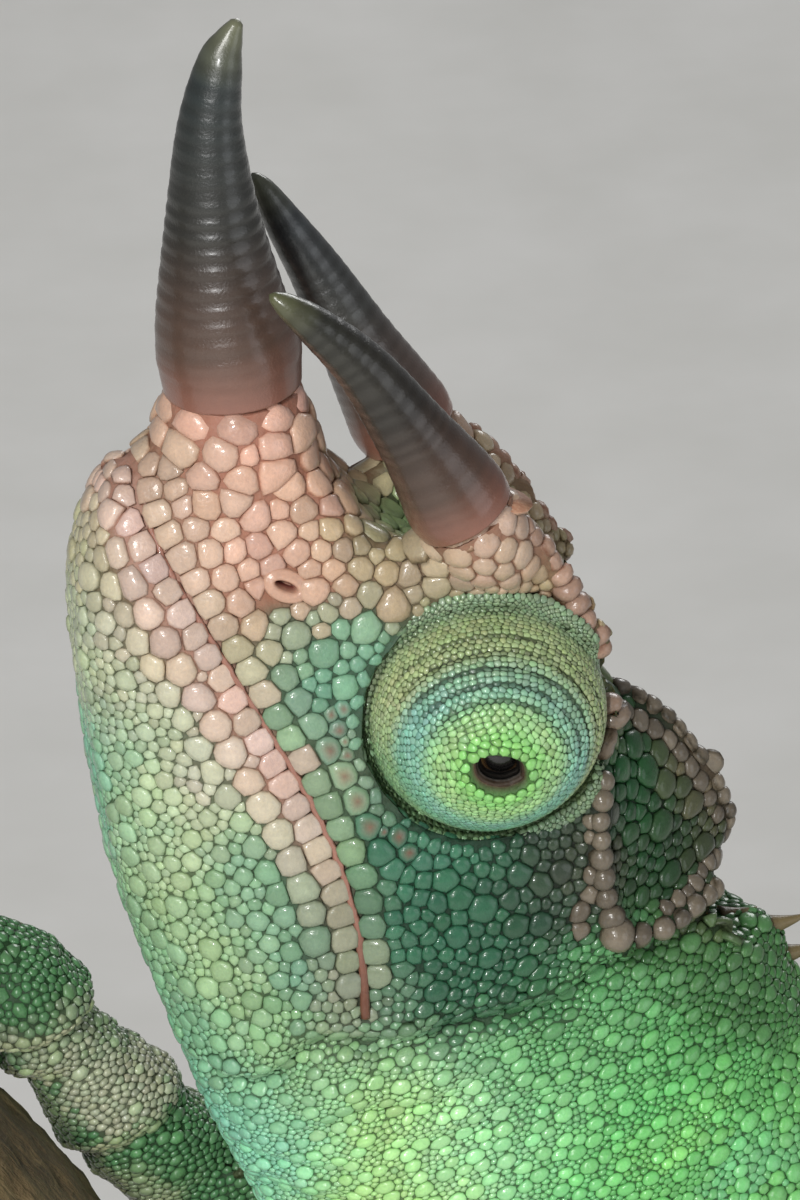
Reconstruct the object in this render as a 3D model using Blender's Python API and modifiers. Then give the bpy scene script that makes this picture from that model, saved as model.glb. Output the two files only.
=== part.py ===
# A Jackson's chameleon, life size, climbing a cut length of branch on a display stand.
# Lengths in the tables are millimetres; meshes are in metres. The animal faces -X and up,
# its sagittal plane is XZ, its left side is towards -Y. The floor is Z = 0.

import math
import random

import bmesh
import bpy
import numpy as np
from mathutils import Vector

MM = 0.001
GAP = 0.3

# Head frame: f forward along the mouth, l to the animal's left, d dorsal.
HEAD_PITCH = 65.0
HEAD_HEIGHT = 150.0
HEAD_BACK = -14.5
EYE_OUT = 4.3
TURRET_RADIUS = 5.25
TURRET_ROOT = 1.7
EYE_RADIUS = 2.0
EYE_CENTRE = 6.6
APERTURE_RADII = (0.95, 1.1)
MOUTH_CORNER = (-9.6, -10.9)

# Perch frame: u down along the branch, v from its axis towards the animal.
PERCH_TILT = 55.0
PERCH_RADIUS = 8.0
PERCH_START = (-22.75, -30.3)
PERCH_ENDS = (-46.0, 82.0)

BASE_SIZE = (122.0, 76.0, 8.0)
BASE_CENTRE_X = 3.0
ROD_RADIUS = 2.2
ROD_PLACES = (-33.0, 12.0)

# The trunk's line: arc length from the back of the head, and how steeply it runs down.
HEADING = ((0, 65), (8, 62), (28, 52.5), (45, 50.5), (65, 53.5), (84, 60), (100, 66), (118, 84))
COIL_START = 118.0
COIL_LENGTH = 97.0
COIL_RADII = (15.5, 4.5)
# Arc length, height above and below the line, half width.
GIRTH = (
    (0, 12.9, 13.3, 8.3),
    (8, 13.2, 13.9, 9.2),
    (20, 14.8, 14.6, 10.2),
    (35, 16.8, 14.7, 11.5),
    (50, 17.4, 14.6, 12.0),
    (65, 15.4, 13.4, 11.0),
    (78, 11.6, 10.4, 9.3),
    (88, 8.4, 8.2, 7.6),
    (100, 6.4, 6.0, 5.6),
    (118, 4.6, 4.4, 4.2),
    (150, 3.6, 3.4, 3.2),
    (185, 2.4, 2.3, 2.2),
    (205, 1.5, 1.5, 1.4),
    (215, 0.7, 0.7, 0.7),
)
GIRTH_MIDDLE = -6.5
ROOF_POWER = 1.85
BELLY_POWER = 2.3
NECK_BLEND = 11.0
TRUNK_NODES = (
    ("neck", GAP, 9.0, 5),
    ("torso", 9.0, 84.0, 18),
    ("tail_base", 84.0, 120.0, 10),
    ("tail_bend", 120.0, 140.0, 8),
    ("tail_lower", 140.0, 160.0, 9),
    ("tail_outer", 160.0, 178.0, 9),
    ("tail_inner", 178.0, 196.0, 10),
    ("tail_tip", 196.0, 215.0, 12),
)

# Lines that run along the head from snout to nape: f, l, d.
HEAD_LINES = {
    "crown": ((17.2, 0, -3.6), (16.5, 0, -2.3), (14.6, 0, -1.1), (11.5, 0, -0.7), (8.5, 0, 0.2), (5.3, 0, 2.7),
              (2.2, 0, 4.2), (-1.4, 0, 4.8), (-5.0, 0, 5.6), (-8.2, 0, 7.1), (-12.0, 0, 7.4), (-14.5, 0, 7.0)),
    "roof": ((17.2, 0.5, -3.8), (14.6, 1.2, -1.4), (11.5, 1.8, -1.0), (8.5, 2.0, 0.2), (5.0, 2.2, 4.0),
             (0.3, 2.2, 4.9), (-4.6, 2.7, 4.9), (-8.6, 3.0, 4.7), (-11.7, 3.1, 4.4), (-14.5, 3.4, 4.5)),
    "brow": ((17.2, 0.9, -4.1), (14.7, 2.3, -2.0), (12.1, 3.2, -1.5), (9.5, 3.8, -0.3), (7.3, 4.0, 2.8),
             (4.9, 4.0, 5.0), (0.3, 4.2, 5.2), (-2.3, 4.5, 4.6), (-4.5, 5.0, 3.5), (-8.4, 5.7, 1.7),
             (-12.6, 6.1, 0.9), (-14.5, 6.2, 0.4)),
    "orbit": ((17.3, 1.2, -4.9), (14.8, 2.9, -4.0), (12.2, 3.8, -3.5), (9.2, 4.4, -2.4), (6.1, 5.0, -0.9),
              (0, 5.4, -0.1), (-5.9, 6.2, -1.2), (-9.8, 6.9, -2.5), (-14.5, 7.4, -3.8)),
    "cheek": ((17.4, 1.3, -6.3), (15.0, 3.1, -6.3), (12.4, 3.9, -6.3), (9.4, 4.5, -6.0), (5.4, 5.5, -6.1),
              (0.4, 6.3, -6.2), (-4.5, 6.9, -6.6), (-9.5, 7.4, -7.5), (-14.5, 7.9, -8.3)),
    "mouth": ((17.5, 0.9, -8.1), (16.4, 1.9, -8.8), (15.2, 2.8, -9.1), (12.8, 4.0, -9.0), (7.0, 5.3, -8.7),
              (1.0, 6.1, -8.5), (-3.6, 6.7, -8.8), (-6.9, 7.0, -9.8), (-9.1, 7.2, -10.7), (-14.5, 7.9, -12.1)),
    "jaw": ((17.5, 0.7, -8.6), (16.5, 1.6, -9.9), (15.3, 2.6, -10.8), (12.8, 3.7, -11.5), (7.3, 4.9, -12.1),
            (1.3, 5.8, -12.6), (-4.0, 6.4, -13.5), (-8.9, 6.9, -14.7), (-14.5, 7.2, -15.5)),
    "gular": ((17.6, 0.4, -8.8), (16.6, 0.8, -10.2), (15.3, 1.4, -11.6), (13.0, 2.1, -13.2), (7.5, 2.9, -15.2),
              (1.6, 3.4, -16.8), (-3.7, 3.8, -18.0), (-8.7, 4.2, -18.6), (-14.5, 4.4, -19.1)),
    "throat": ((17.6, 0, -8.8), (16.6, 0, -10.2), (15.8, 0, -11.2), (13.8, 0, -13.1), (11.1, 0, -14.3),
               (5.3, 0, -16.4), (-1.7, 0, -18.3), (-7.0, 0, -19.0), (-14.5, 0, -19.8)),
}
# The lips: how far below the mouth the lower one is fullest, and by how much they swell.
LIP_HEIGHT = 1.1
LIP_SWELL = 0.3
HEAD_FRONT = 17.2
HEAD_STATIONS = 25
HEAD_SIDES = 30
TRUNK_SIDES = 24

# Horns: f, l, d, radius from the collar to the tip, as they stand on this animal.
HORN_PATHS = {
    "rostral": ((18.3, 0, -2.85, 3.0), (19.6, 0, -2.4, 3.12), (21.4, 0, -1.86, 2.85), (25.4, 0, -0.39, 2.05),
                (29.3, 0, 1.32, 1.42), (31.8, 0, 2.96, 1.0), (32.7, 0, 3.85, 0.62), (33.2, 0, 4.45, 0.3)),
    "left": ((9.9, 4.4, 3.3, 2.3), (11.5, 4.5, 3.2, 2.1), (13.9, 4.6, 2.98, 1.68), (18.13, 4.9, 2.44, 1.22),
             (21.0, 5.0, 1.56, 0.88), (22.7, 5.07, 0.86, 0.55), (23.4, 5.1, 0.52, 0.25)),
    "right": ((9.9, -4.4, 2.4, 2.3), (11.5, -4.5, 2.35, 2.1), (14.2, -4.6, 2.25, 1.68), (17.9, -4.9, 2.15, 1.22),
              (20.7, -5.0, 1.93, 0.88), (22.7, -5.07, 1.8, 0.55), (23.5, -5.1, 1.72, 0.25)),
}
HORN_RINGS = {"rostral": 13, "left": 11, "right": 11}
# The skin's sleeve round the foot of each horn.
COLLAR_PATHS = {
    "rostral": ((12.0, 0, -5.6, 3.6), (14.4, 0, -4.5, 3.95), (16.6, 0, -3.55, 3.6), (18.0, 0, -2.95, 3.22)),
    "left": ((4.5, 2.9, 4.1, 1.8), (7.4, 4.1, 3.5, 2.45), (9.6, 4.38, 3.32, 2.5)),
    "right": ((4.5, -2.9, 3.5, 1.8), (7.4, -4.1, 2.6, 2.45), (9.6, -4.38, 2.42, 2.5)),
}
NOSTRIL = (9.9, 3.9, -5.0)
NOSTRIL_RADIUS = 0.5

# Rows of tubercles: points the row runs through, count, radius. The side rows are mirrored.
TUBERCLE_ROWS = (
    (((7.6, 4.0, 4.7), (5.2, 4.1, 5.5), (1.5, 4.3, 5.7), (-2.1, 4.8, 4.7), (-4.3, 5.3, 3.6)), 8, 0.85),
    (((-5.8, 5.6, 2.7), (-8.8, 6.0, 1.5), (-12.6, 6.5, 0.8)), 6, 0.9),
    (((-13.7, 5.2, 2.4), (-14.5, 3.6, 4.7), (-14.9, 1.6, 6.3)), 5, 0.8),
)
CASQUE_ROW = (((-5.6, 0, 6.0), (-8.6, 0, 7.3), (-12.0, 0, 7.5), (-14.7, 0, 7.0)), 7, 0.85)
SPINE_STEP = 2.7
SPINE_SIZE = (0.9, 1.9)
TAIL_SPINES_END = 116.0

# Limbs: points in the perch frame (u, l, v, radius) for the animal's own side; foot at u.
LIMBS = {
    "fore_right": dict(side=-1, foot=-18.5, inner=2, turn=-28.0,
                       upper=((22.0, 4.6, 20.0, 3.6), (17.5, 8.2, 15.3, 3.6), (5.8, 7.6, 10.6, 3.35),
                              (-0.5, 6.5, 10.0, 3.35), (-5.4, 5.7, 10.0, 3.25)),
                       lower=((-5.4, 5.7, 10.0, 3.05), (-8.6, 5.9, 9.8, 3.5), (-11.6, 6.2, 9.1, 2.6),
                              (-16.3, 5.4, 9.5, 2.1))),
    "fore_left": dict(side=1, foot=12.5, inner=2, turn=36.0,
                      upper=((14.0, 4.0, 23.0, 3.6), (17.0, 8.4, 19.5, 3.9), (22.5, 12.0, 16.0, 3.2),
                             (27.0, 13.3, 13.0, 2.8)),
                      lower=((27.0, 13.3, 13.0, 2.75), (20.5, 10.5, 11.8, 2.9), (14.6, 7.2, 11.9, 2.0))),
    "hind_right": dict(side=-1, foot=72.0, inner=3, turn=-46.0,
                       upper=((86.0, 3.0, 22.5, 3.4), (81.5, 7.4, 20.8, 4.1), (74.0, 13.0, 20.5, 3.5),
                              (68.0, 16.4, 20.0, 2.8)),
                       lower=((68.0, 16.4, 20.0, 2.75), (69.5, 12.5, 15.5, 2.9), (71.5, 7.2, 12.2, 2.0))),
    "hind_left": dict(side=1, foot=60.0, inner=3, turn=46.0,
                      upper=((84.0, 3.0, 22.5, 3.4), (79.5, 7.6, 20.8, 4.1), (70.0, 12.8, 20.5, 3.5),
                             (62.0, 16.2, 19.5, 2.8)),
                      lower=((62.0, 16.2, 19.5, 2.75), (60.5, 12.5, 15.3, 2.9), (60.0, 7.4, 12.2, 2.0))),
}
TOE_RADIUS = 1.6
TOE_STEP = 2.5
TOE_REACH = {"inner": 92.0, "outer": 88.0}
PALM_RADIUS = 3.3
CLAW_LENGTH = 2.2

COLOURS = {
    "skin_head": ((0.46, 0.42, 0.33), 0.45, 0.0),
    "skin_body": ((0.16, 0.42, 0.14), 0.5, 0.0),
    "skin_tail": ((0.14, 0.36, 0.15), 0.5, 0.0),
    "turret": ((0.22, 0.48, 0.25), 0.45, 0.0),
    "eye": ((0.01, 0.009, 0.008), 0.12, 0.0),
    "horn": ((0.2, 0.17, 0.15), 0.35, 0.0),
    "bark": ((0.18, 0.11, 0.06), 0.85, 0.0),
    "base_wood": ((0.14, 0.08, 0.045), 0.4, 0.0),
    "rod_steel": ((0.62, 0.62, 0.62), 0.3, 1.0),
}

for stale in list(bpy.data.objects):
    bpy.data.objects.remove(stale)

animal = bpy.data.collections.new("jacksons_chameleon")
helpers = bpy.data.collections.new("helpers")
for group in (animal, helpers):
    bpy.context.scene.collection.children.link(group)
helpers.hide_render = True


def head_point(f, l, d):
    """World point, in mm, of a point in the head frame."""
    pitch = math.radians(HEAD_PITCH)
    x = -f * math.cos(pitch) + d * math.sin(pitch)
    z = f * math.sin(pitch) + d * math.cos(pitch) + HEAD_HEIGHT
    return np.stack(np.broadcast_arrays(x, -np.asarray(l, float), z), axis=-1)


def perch_point(u, l, v):
    """World point, in mm, of a point in the perch frame."""
    tilt = math.radians(PERCH_TILT)
    x = PERCH_START[0] + u * math.cos(tilt) + v * math.sin(tilt)
    z = HEAD_HEIGHT + PERCH_START[1] - u * math.sin(tilt) + v * math.cos(tilt)
    return np.stack(np.broadcast_arrays(x, -np.asarray(l, float), z), axis=-1)


def through(knots, at):
    """A smooth curve through rows of (t, values...), read at the places asked for: cubic
    pieces whose slope at a knot is the slope between its neighbours."""
    rows = np.array(knots, float)
    rows = rows[np.argsort(rows[:, 0])]
    t, value = rows[:, 0], rows[:, 1:]
    slope = np.gradient(value, t, axis=0)
    at = np.clip(np.atleast_1d(np.asarray(at, float)), t[0], t[-1])
    i = np.clip(np.searchsorted(t, at, side="right") - 1, 0, len(t) - 2)
    step = (t[i + 1] - t[i])[:, None]
    x = ((at - t[i]) / (t[i + 1] - t[i]))[:, None]
    start = value[i] * (1 + 2 * x) * (1 - x) ** 2 + step * slope[i] * x * (1 - x) ** 2
    end = value[i + 1] * x ** 2 * (3 - 2 * x) + step * slope[i + 1] * x ** 2 * (x - 1)
    return start + end


def along(points, count):
    """Places spread evenly along a smooth curve through the points."""
    points = np.array(points, float)
    fine = through(np.column_stack([np.arange(len(points)), points]), np.linspace(0, len(points) - 1, 200))
    run = np.concatenate([[0], np.cumsum(np.linalg.norm(np.diff(fine[:, :3], axis=0), axis=1))])
    return np.stack([np.interp(np.linspace(0, run[-1], count), run, column) for column in fine.T], axis=1)


def head_section(f, sides):
    """One closed section of the head across f, as rows of (l, d), from the crown down the left."""
    half = {name: through(line, f)[0] for name, line in HEAD_LINES.items()}
    swell = LIP_SWELL * min(1.0, half["mouth"][0] / 4)
    half["mouth"] = half["mouth"] - (swell / 2, 0)
    order = ["crown", "roof", "brow", "orbit", "cheek", "upper_lip", "mouth", "lower_lip", "jaw", "gular", "throat"]
    half["upper_lip"] = (half["cheek"] + half["mouth"]) / 2 + (swell, 0)
    half["lower_lip"] = half["mouth"] + (swell, -LIP_HEIGHT)
    half = np.array([half[name] for name in order])
    smooth = through(np.column_stack([np.arange(len(half)), half]), np.linspace(0, len(half) - 1, sides // 2 + 1))
    mirrored = smooth[-2:0:-1] * (-1, 1)
    return np.vstack([smooth, mirrored])


def trunk_line(at):
    """Points and headings, in mm and radians, of the trunk's middle line at arc lengths."""
    fine = np.linspace(0, COIL_START + COIL_LENGTH, 4000)
    steep = np.radians(through(HEADING, np.minimum(fine, COIL_START))[:, 0])
    turned = np.clip(fine - COIL_START, 0, None)
    shrink = (COIL_RADII[1] ** 2 - COIL_RADII[0] ** 2) / COIL_LENGTH
    radius = np.sqrt(COIL_RADII[0] ** 2 + shrink * turned)
    step = fine[1] - fine[0]
    steep = steep + np.cumsum(np.where(turned > 0, step / radius, 0))
    start = head_point(HEAD_BACK, 0, GIRTH_MIDDLE)
    x = start[0] + np.concatenate([[0], np.cumsum(np.cos(steep[:-1]) * step)])
    z = start[2] - np.concatenate([[0], np.cumsum(np.sin(steep[:-1]) * step)])
    return np.interp(at, fine, x), np.interp(at, fine, z), np.interp(at, fine, steep)


def polar(section, middle, angles):
    """The section's distance from its middle at angles from the crown towards the left."""
    across, up = section[:, 0], section[:, 1] - middle
    found = np.unwrap(np.arctan2(across, up))
    reach = np.hypot(across, up)
    order = np.argsort(found)
    return np.interp(angles, found[order], reach[order], period=2 * math.pi)


HEAD_BACK_REACH = polar(head_section(HEAD_BACK, 96), GIRTH_MIDDLE, np.linspace(0, 2 * math.pi, 96, endpoint=False))


def trunk_grid(s, sides, extra=0.0):
    """Sections across the trunk's line: a superellipse, pointed along the back, that starts as
    the back of the head and turns into the body's own over NECK_BLEND."""
    s = np.atleast_1d(np.asarray(s, float))
    angle = np.linspace(0, 2 * math.pi, sides, endpoint=False)
    above, below, wide = through(GIRTH, s).T
    up = np.cos(angle)[None, :]
    height = np.where(up > 0, above[:, None], below[:, None])
    power = np.where(up > 0, ROOF_POWER, BELLY_POWER)
    body = ((np.abs(up) / height) ** power + (np.abs(np.sin(angle))[None, :] / wide[:, None]) ** power) ** (-1 / power)
    first = np.interp(angle, np.linspace(0, 2 * math.pi, 97), np.append(HEAD_BACK_REACH, HEAD_BACK_REACH[0]))
    mix = np.clip(s / NECK_BLEND, 0, 1)
    mix = (mix * mix * (3 - 2 * mix))[:, None]
    reach = first[None, :] * (1 - mix) + body * mix + extra
    x, z, steep = trunk_line(s)
    back = np.stack([np.sin(steep), np.cos(steep)], axis=1)
    lift = reach * up
    return np.stack([
        x[:, None] + back[:, :1] * lift,
        -reach * np.sin(angle)[None, :],
        z[:, None] + back[:, 1:] * lift,
    ], axis=-1)


def trunk_core(start=0.0):
    """The body from neck to tail base with its clearance round it, without its spines."""
    return loft("trunk", trunk_grid(np.linspace(start, 110, 30), TRUNK_SIDES, GAP))


def mesh_object(name, vertices, faces, group=helpers):
    mesh = bpy.data.meshes.new(name)
    mesh.from_pydata([tuple(v) for v in np.asarray(vertices) * MM], [], faces)
    made = bpy.data.objects.new(name, mesh)
    group.objects.link(made)
    return made


def loft(name, grid):
    """A closed skin over sections, with a fan on each end."""
    rows, sides = grid.shape[:2]
    vertices = list(grid.reshape(-1, 3)) + [grid[0].mean(axis=0), grid[-1].mean(axis=0)]
    faces = []
    for i in range(rows - 1):
        for j in range(sides):
            k = (j + 1) % sides
            faces.append((i * sides + j, i * sides + k, (i + 1) * sides + k, (i + 1) * sides + j))
    for j in range(sides):
        k = (j + 1) % sides
        faces.append((rows * sides, k, j))
        faces.append((rows * sides + 1, (rows - 1) * sides + j, (rows - 1) * sides + k))
    made = mesh_object(name, vertices, faces)
    face_outwards(made)
    return made


def face_outwards(made):
    work = bmesh.new()
    work.from_mesh(made.data)
    bmesh.ops.recalc_face_normals(work, faces=work.faces[:])
    if work.calc_volume(signed=True) < 0:
        bmesh.ops.reverse_faces(work, faces=work.faces[:])
    work.to_mesh(made.data)
    work.free()


def tube(name, points, radii, resolution=2):
    """A closed tube along points in mm: a beveled curve with filled caps, made a mesh."""
    curve = bpy.data.curves.new(name, "CURVE")
    curve.dimensions = "3D"
    curve.bevel_depth = MM
    curve.bevel_resolution = resolution
    curve.use_fill_caps = True
    line = curve.splines.new("POLY")
    line.points.add(len(points) - 1)
    for knot, place, radius in zip(line.points, points, radii):
        knot.co = (*(np.asarray(place) * MM), 1)
        knot.radius = radius
    drawn = bpy.data.objects.new(name, curve)
    helpers.objects.link(drawn)
    bpy.context.view_layer.update()
    mesh = bpy.data.meshes.new_from_object(drawn.evaluated_get(bpy.context.evaluated_depsgraph_get()))
    work = bmesh.new()
    work.from_mesh(mesh)
    bmesh.ops.remove_doubles(work, verts=work.verts[:], dist=1e-7)
    work.to_mesh(mesh)
    work.free()
    made = bpy.data.objects.new(name, mesh)
    made.matrix_world = drawn.matrix_world
    bpy.data.objects.remove(drawn)
    helpers.objects.link(made)
    face_outwards(made)
    return made


def ball(name, place, radius, subdivisions=2):
    mesh = bpy.data.meshes.new(name)
    work = bmesh.new()
    bmesh.ops.create_icosphere(work, subdivisions=subdivisions, radius=radius * MM)
    bmesh.ops.translate(work, verts=work.verts[:], vec=Vector(np.asarray(place) * MM))
    work.to_mesh(mesh)
    work.free()
    made = bpy.data.objects.new(name, mesh)
    helpers.objects.link(made)
    return made


def cone(name, base, tip, radius, sides=5, tip_radius=0.0):
    """A cone from its base's centre to its tip, in mm."""
    base, tip = Vector(np.asarray(base) * MM), Vector(np.asarray(tip) * MM)
    mesh = bpy.data.meshes.new(name)
    work = bmesh.new()
    bmesh.ops.create_cone(work, cap_ends=True, segments=sides, radius1=radius * MM, radius2=tip_radius * MM,
                          depth=(tip - base).length)
    turn = (tip - base).to_track_quat("Z", "Y").to_matrix().to_4x4()
    turn.translation = (base + tip) / 2
    bmesh.ops.transform(work, matrix=turn, verts=work.verts[:])
    work.to_mesh(mesh)
    work.free()
    made = bpy.data.objects.new(name, mesh)
    helpers.objects.link(made)
    return made


def turned(name, profile, side, sides=20):
    """A turned solid about the line through both eyes: rows of (l, radius), poles closed."""
    l, radius = np.array(profile, float).T
    angle = np.linspace(0, 2 * math.pi, sides, endpoint=False)
    grid = head_point(radius[:, None] * np.cos(angle), side * l[:, None] + 0 * angle, radius[:, None] * np.sin(angle))
    return loft(name, grid)


def combine(base, others, operation, solver="EXACT"):
    """One Boolean of the base with a collection of closed meshes, applied; only the largest
    closed surface is kept and the others are removed."""
    operands = bpy.data.collections.new("operands")
    helpers.children.link(operands)
    for other in others:
        helpers.objects.unlink(other)
        operands.objects.link(other)
    join = base.modifiers.new("join", "BOOLEAN")
    join.operand_type = "COLLECTION"
    join.collection = operands
    join.operation = operation
    join.solver = solver
    bpy.context.view_layer.update()
    mesh = bpy.data.meshes.new_from_object(base.evaluated_get(bpy.context.evaluated_depsgraph_get()))
    base.modifiers.clear()
    base.data = mesh
    for other in list(operands.objects):
        bpy.data.objects.remove(other)
    bpy.data.collections.remove(operands)
    keep_largest(base)
    return base


def keep_largest(made):
    work = bmesh.new()
    work.from_mesh(made.data)
    bmesh.ops.remove_doubles(work, verts=work.verts[:], dist=2e-6)
    bmesh.ops.dissolve_degenerate(work, edges=work.edges[:], dist=2e-6)
    bmesh.ops.triangulate(work, faces=work.faces[:])
    left = set(work.verts)
    pieces = []
    while left:
        reached = [left.pop()]
        piece = set(reached)
        while reached:
            for edge in reached.pop().link_edges:
                for vertex in edge.verts:
                    if vertex in left:
                        left.remove(vertex)
                        piece.add(vertex)
                        reached.append(vertex)
        pieces.append(piece)
    pieces.sort(key=len)
    loose = [vertex for piece in pieces[:-1] for vertex in piece]
    bmesh.ops.delete(work, geom=loose, context="VERTS")
    work.to_mesh(made.data)
    work.free()


def finish(made, name, colour):
    """Names a piece, gives it its material and puts it among the animal's parts."""
    made.name = name
    made.data.name = name
    tone, roughness, metallic = COLOURS[colour]
    paint = bpy.data.materials.get(colour) or bpy.data.materials.new(colour)
    paint.use_nodes = True
    shader = paint.node_tree.nodes["Principled BSDF"]
    shader.inputs["Base Color"].default_value = (*tone, 1)
    shader.inputs["Roughness"].default_value = roughness
    shader.inputs["Metallic"].default_value = metallic
    made.data.materials.clear()
    made.data.materials.append(paint)
    made.data.shade_smooth()
    made.data.set_sharp_from_angle(angle=math.radians(50))
    for group in list(made.users_collection):
        group.objects.unlink(made)
    animal.objects.link(made)
    return made


def turret_profile(extra):
    """The turret's outline from its root inside the head to its apex: (l, radius)."""
    angle = np.radians(np.linspace(0, 88, 8))
    wide = TURRET_RADIUS + extra
    dome = np.column_stack([EYE_OUT + wide * np.sin(angle), wide * np.cos(angle)])
    root = [(TURRET_ROOT - extra, 0.02), (TURRET_ROOT - extra, 4.0 + extra), (EYE_OUT - 1.0, wide * 0.975)]
    return np.vstack([root, dome, [(EYE_OUT + wide, 0.02)]])


def mouth_prism(name, grow):
    """Everything under the line of the mouth, back to behind its corner; grow moves its walls."""
    line = np.array(HEAD_LINES["mouth"], float)
    line = line[line[:, 0] > MOUTH_CORNER[0]]
    rim = [(f, d + grow) for f, _, d in line]
    rim[0] = (20.0, rim[0][1])
    rim += [(MOUTH_CORNER[0] - grow, MOUTH_CORNER[1] + grow), (-12.6 - grow, -23.0), (20.0, -23.0)]
    f, d = np.array(rim).T
    half = 12.0
    vertices = np.vstack([head_point(f, half, d), head_point(f, -half, d)])
    count = len(f)
    faces = [tuple(range(count)), tuple(range(2 * count - 1, count - 1, -1))]
    faces += [(i, count + i, count + (i + 1) % count, (i + 1) % count) for i in range(count)]
    made = mesh_object(name, vertices, faces)
    face_outwards(made)
    return made


def head_block(name):
    stations = HEAD_BACK + (HEAD_FRONT - HEAD_BACK) * np.sin(np.linspace(0, 1, HEAD_STATIONS) * math.pi / 2)
    sections = [head_section(f, HEAD_SIDES) for f in stations]
    grid = np.array([head_point(f, part[:, 0], part[:, 1]) for f, part in zip(stations, sections)])
    return loft(name, grid)


def collar(kind):
    rows = along(COLLAR_PATHS[kind], 6)
    return tube("collar", head_point(rows[:, 0], rows[:, 1], rows[:, 2]), rows[:, 3], 4)


def horn(kind):
    """A horn in rings that swell a little and tighten again, under a smooth pointed end."""
    stations = 2 * HORN_RINGS[kind] + 5
    rows = along(HORN_PATHS[kind], stations)
    ring = np.where(np.arange(stations) % 2 == 1, 1.035, 0.975)
    ring[:3] = 1.0
    return tube("horn", head_point(rows[:, 0], rows[:, 1], rows[:, 2]), rows[:, 3] * ring, 3)


def tubercles():
    """The beads along both brows, the casque's edge and its middle line."""
    draw = random.Random(11)
    beads = []
    for points, count, radius in TUBERCLE_ROWS:
        for f, l, d in along(points, count):
            for side in (-1, 1):
                size = radius * draw.uniform(0.88, 1.12)
                beads.append(ball("bead", head_point(f, side * (l - 0.25), d - 0.3), size, 1))
    points, count, radius = CASQUE_ROW
    for f, l, d in along(points, count):
        beads.append(ball("bead", head_point(f, l, d - 0.35), radius * draw.uniform(0.9, 1.15), 1))
    return beads


def make_head():
    head = head_block("head")
    jaw = head.copy()
    jaw.data = head.data.copy()
    helpers.objects.link(jaw)
    combine(head, tubercles() + [collar(kind) for kind in COLLAR_PATHS], "UNION")
    sockets = [turned("socket", turret_profile(GAP), side) for side in (-1, 1)]
    nostrils = []
    for side in (-1, 1):
        f, l, d = NOSTRIL
        inner, outer = head_point(f - 0.6, side * (l - 1.3), d - 0.2), head_point(f + 0.5, side * (l + 1.2), d + 0.1)
        nostrils.append(cone("nostril", inner, outer, NOSTRIL_RADIUS, 8, NOSTRIL_RADIUS * 1.3))
    cutters = sockets + nostrils + [mouth_prism("mouth", GAP / 2), trunk_core(0.05)]
    combine(head, cutters, "DIFFERENCE")
    combine(jaw, [mouth_prism("mouth", -GAP / 2)], "INTERSECT")
    finish(head, "head", "skin_head")
    finish(jaw, "jaw", "skin_head")


def make_eyes():
    for word, side in (("left", 1), ("right", -1)):
        turret = turned("turret", turret_profile(0), side)
        centre = head_point(0, side * EYE_CENTRE, 0)
        hollow = ball("hollow", centre, EYE_RADIUS + GAP, 2)
        opening = cone("opening", centre, head_point(0, side * 12, 0), APERTURE_RADII[0], 12, APERTURE_RADII[1])
        combine(turret, [hollow, opening], "DIFFERENCE")
        finish(turret, f"eye_turret_{word}", "turret")
        finish(ball("eye", centre, EYE_RADIUS, 2), f"eye_{word}", "eye")


def make_horns():
    for kind in HORN_PATHS:
        finish(horn(kind), f"horn_{kind}", "horn")


def back_spines(start, end, draw):
    """Small cones along the ridge of the back, leaning towards the tail."""
    places = np.arange(start + 2.4, end - 1.0, SPINE_STEP)
    spines = []
    for s in places:
        ridge = trunk_grid([s, s + 0.6], 4)[:, 0]
        x, z, steep = trunk_line(np.array([s]))
        up = np.array([math.sin(steep[0]), 0, math.cos(steep[0])])
        rear = np.array([math.cos(steep[0]), 0, -math.sin(steep[0])])
        fade = min(1.0, (TAIL_SPINES_END + 12 - s) / 40)
        tall = SPINE_SIZE[1] * fade * draw.uniform(0.8, 1.2)
        wide = SPINE_SIZE[0] * (0.5 + 0.5 * fade)
        spines.append(cone("spine", ridge[0] - up * 1.1, ridge[0] + up * tall + rear * 0.5, wide, 5, 0.12))
    return spines


def make_trunk():
    draw = random.Random(5)
    for name, start, end, rows in TRUNK_NODES:
        first = start if name == "neck" else start + GAP / 2
        last = end if name == "tail_tip" else end - GAP / 2
        grid = trunk_grid(np.linspace(first, last, rows), TRUNK_SIDES if end < 121 else 12)
        length = loft(name, grid)
        if start < TAIL_SPINES_END:
            combine(length, back_spines(first, min(last, TAIL_SPINES_END), draw), "UNION")
        finish(length, name, "skin_tail" if "tail" in name else "skin_body")


def limb_tube(name, rows, side, extra=0.0, count=8, closed_end=True):
    rows = along(rows, count)
    radii = rows[:, 3] + extra
    ends = np.ones(count)
    if closed_end:
        ends[-1] = 0.72
    return tube(name, perch_point(rows[:, 0], side * rows[:, 1], rows[:, 2]), radii * ends, 3)


def perch_tube(name, extra=0.0):
    """The branch: straight, a little thicker and thinner along its length."""
    u = np.linspace(PERCH_ENDS[0] - extra, PERCH_ENDS[1] + extra, 15)
    swell = 0.22 * np.cos(u / 9.0)
    return tube(name, perch_point(u, 0, 0 * u), PERCH_RADIUS + swell - 0.22 + extra, 6)


def toe_arc(u, start, end, radius):
    """A toe round the branch at u, between two angles from the branch's upper side."""
    angle = np.radians(np.linspace(start, end, 6))
    reach = PERCH_RADIUS + GAP + radius
    taper = np.linspace(1.0, 0.72, 6)
    points = perch_point(u + 0 * angle, reach * np.sin(angle), reach * np.cos(angle))
    return tube("toe", points, radius * taper, 1), points


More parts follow.
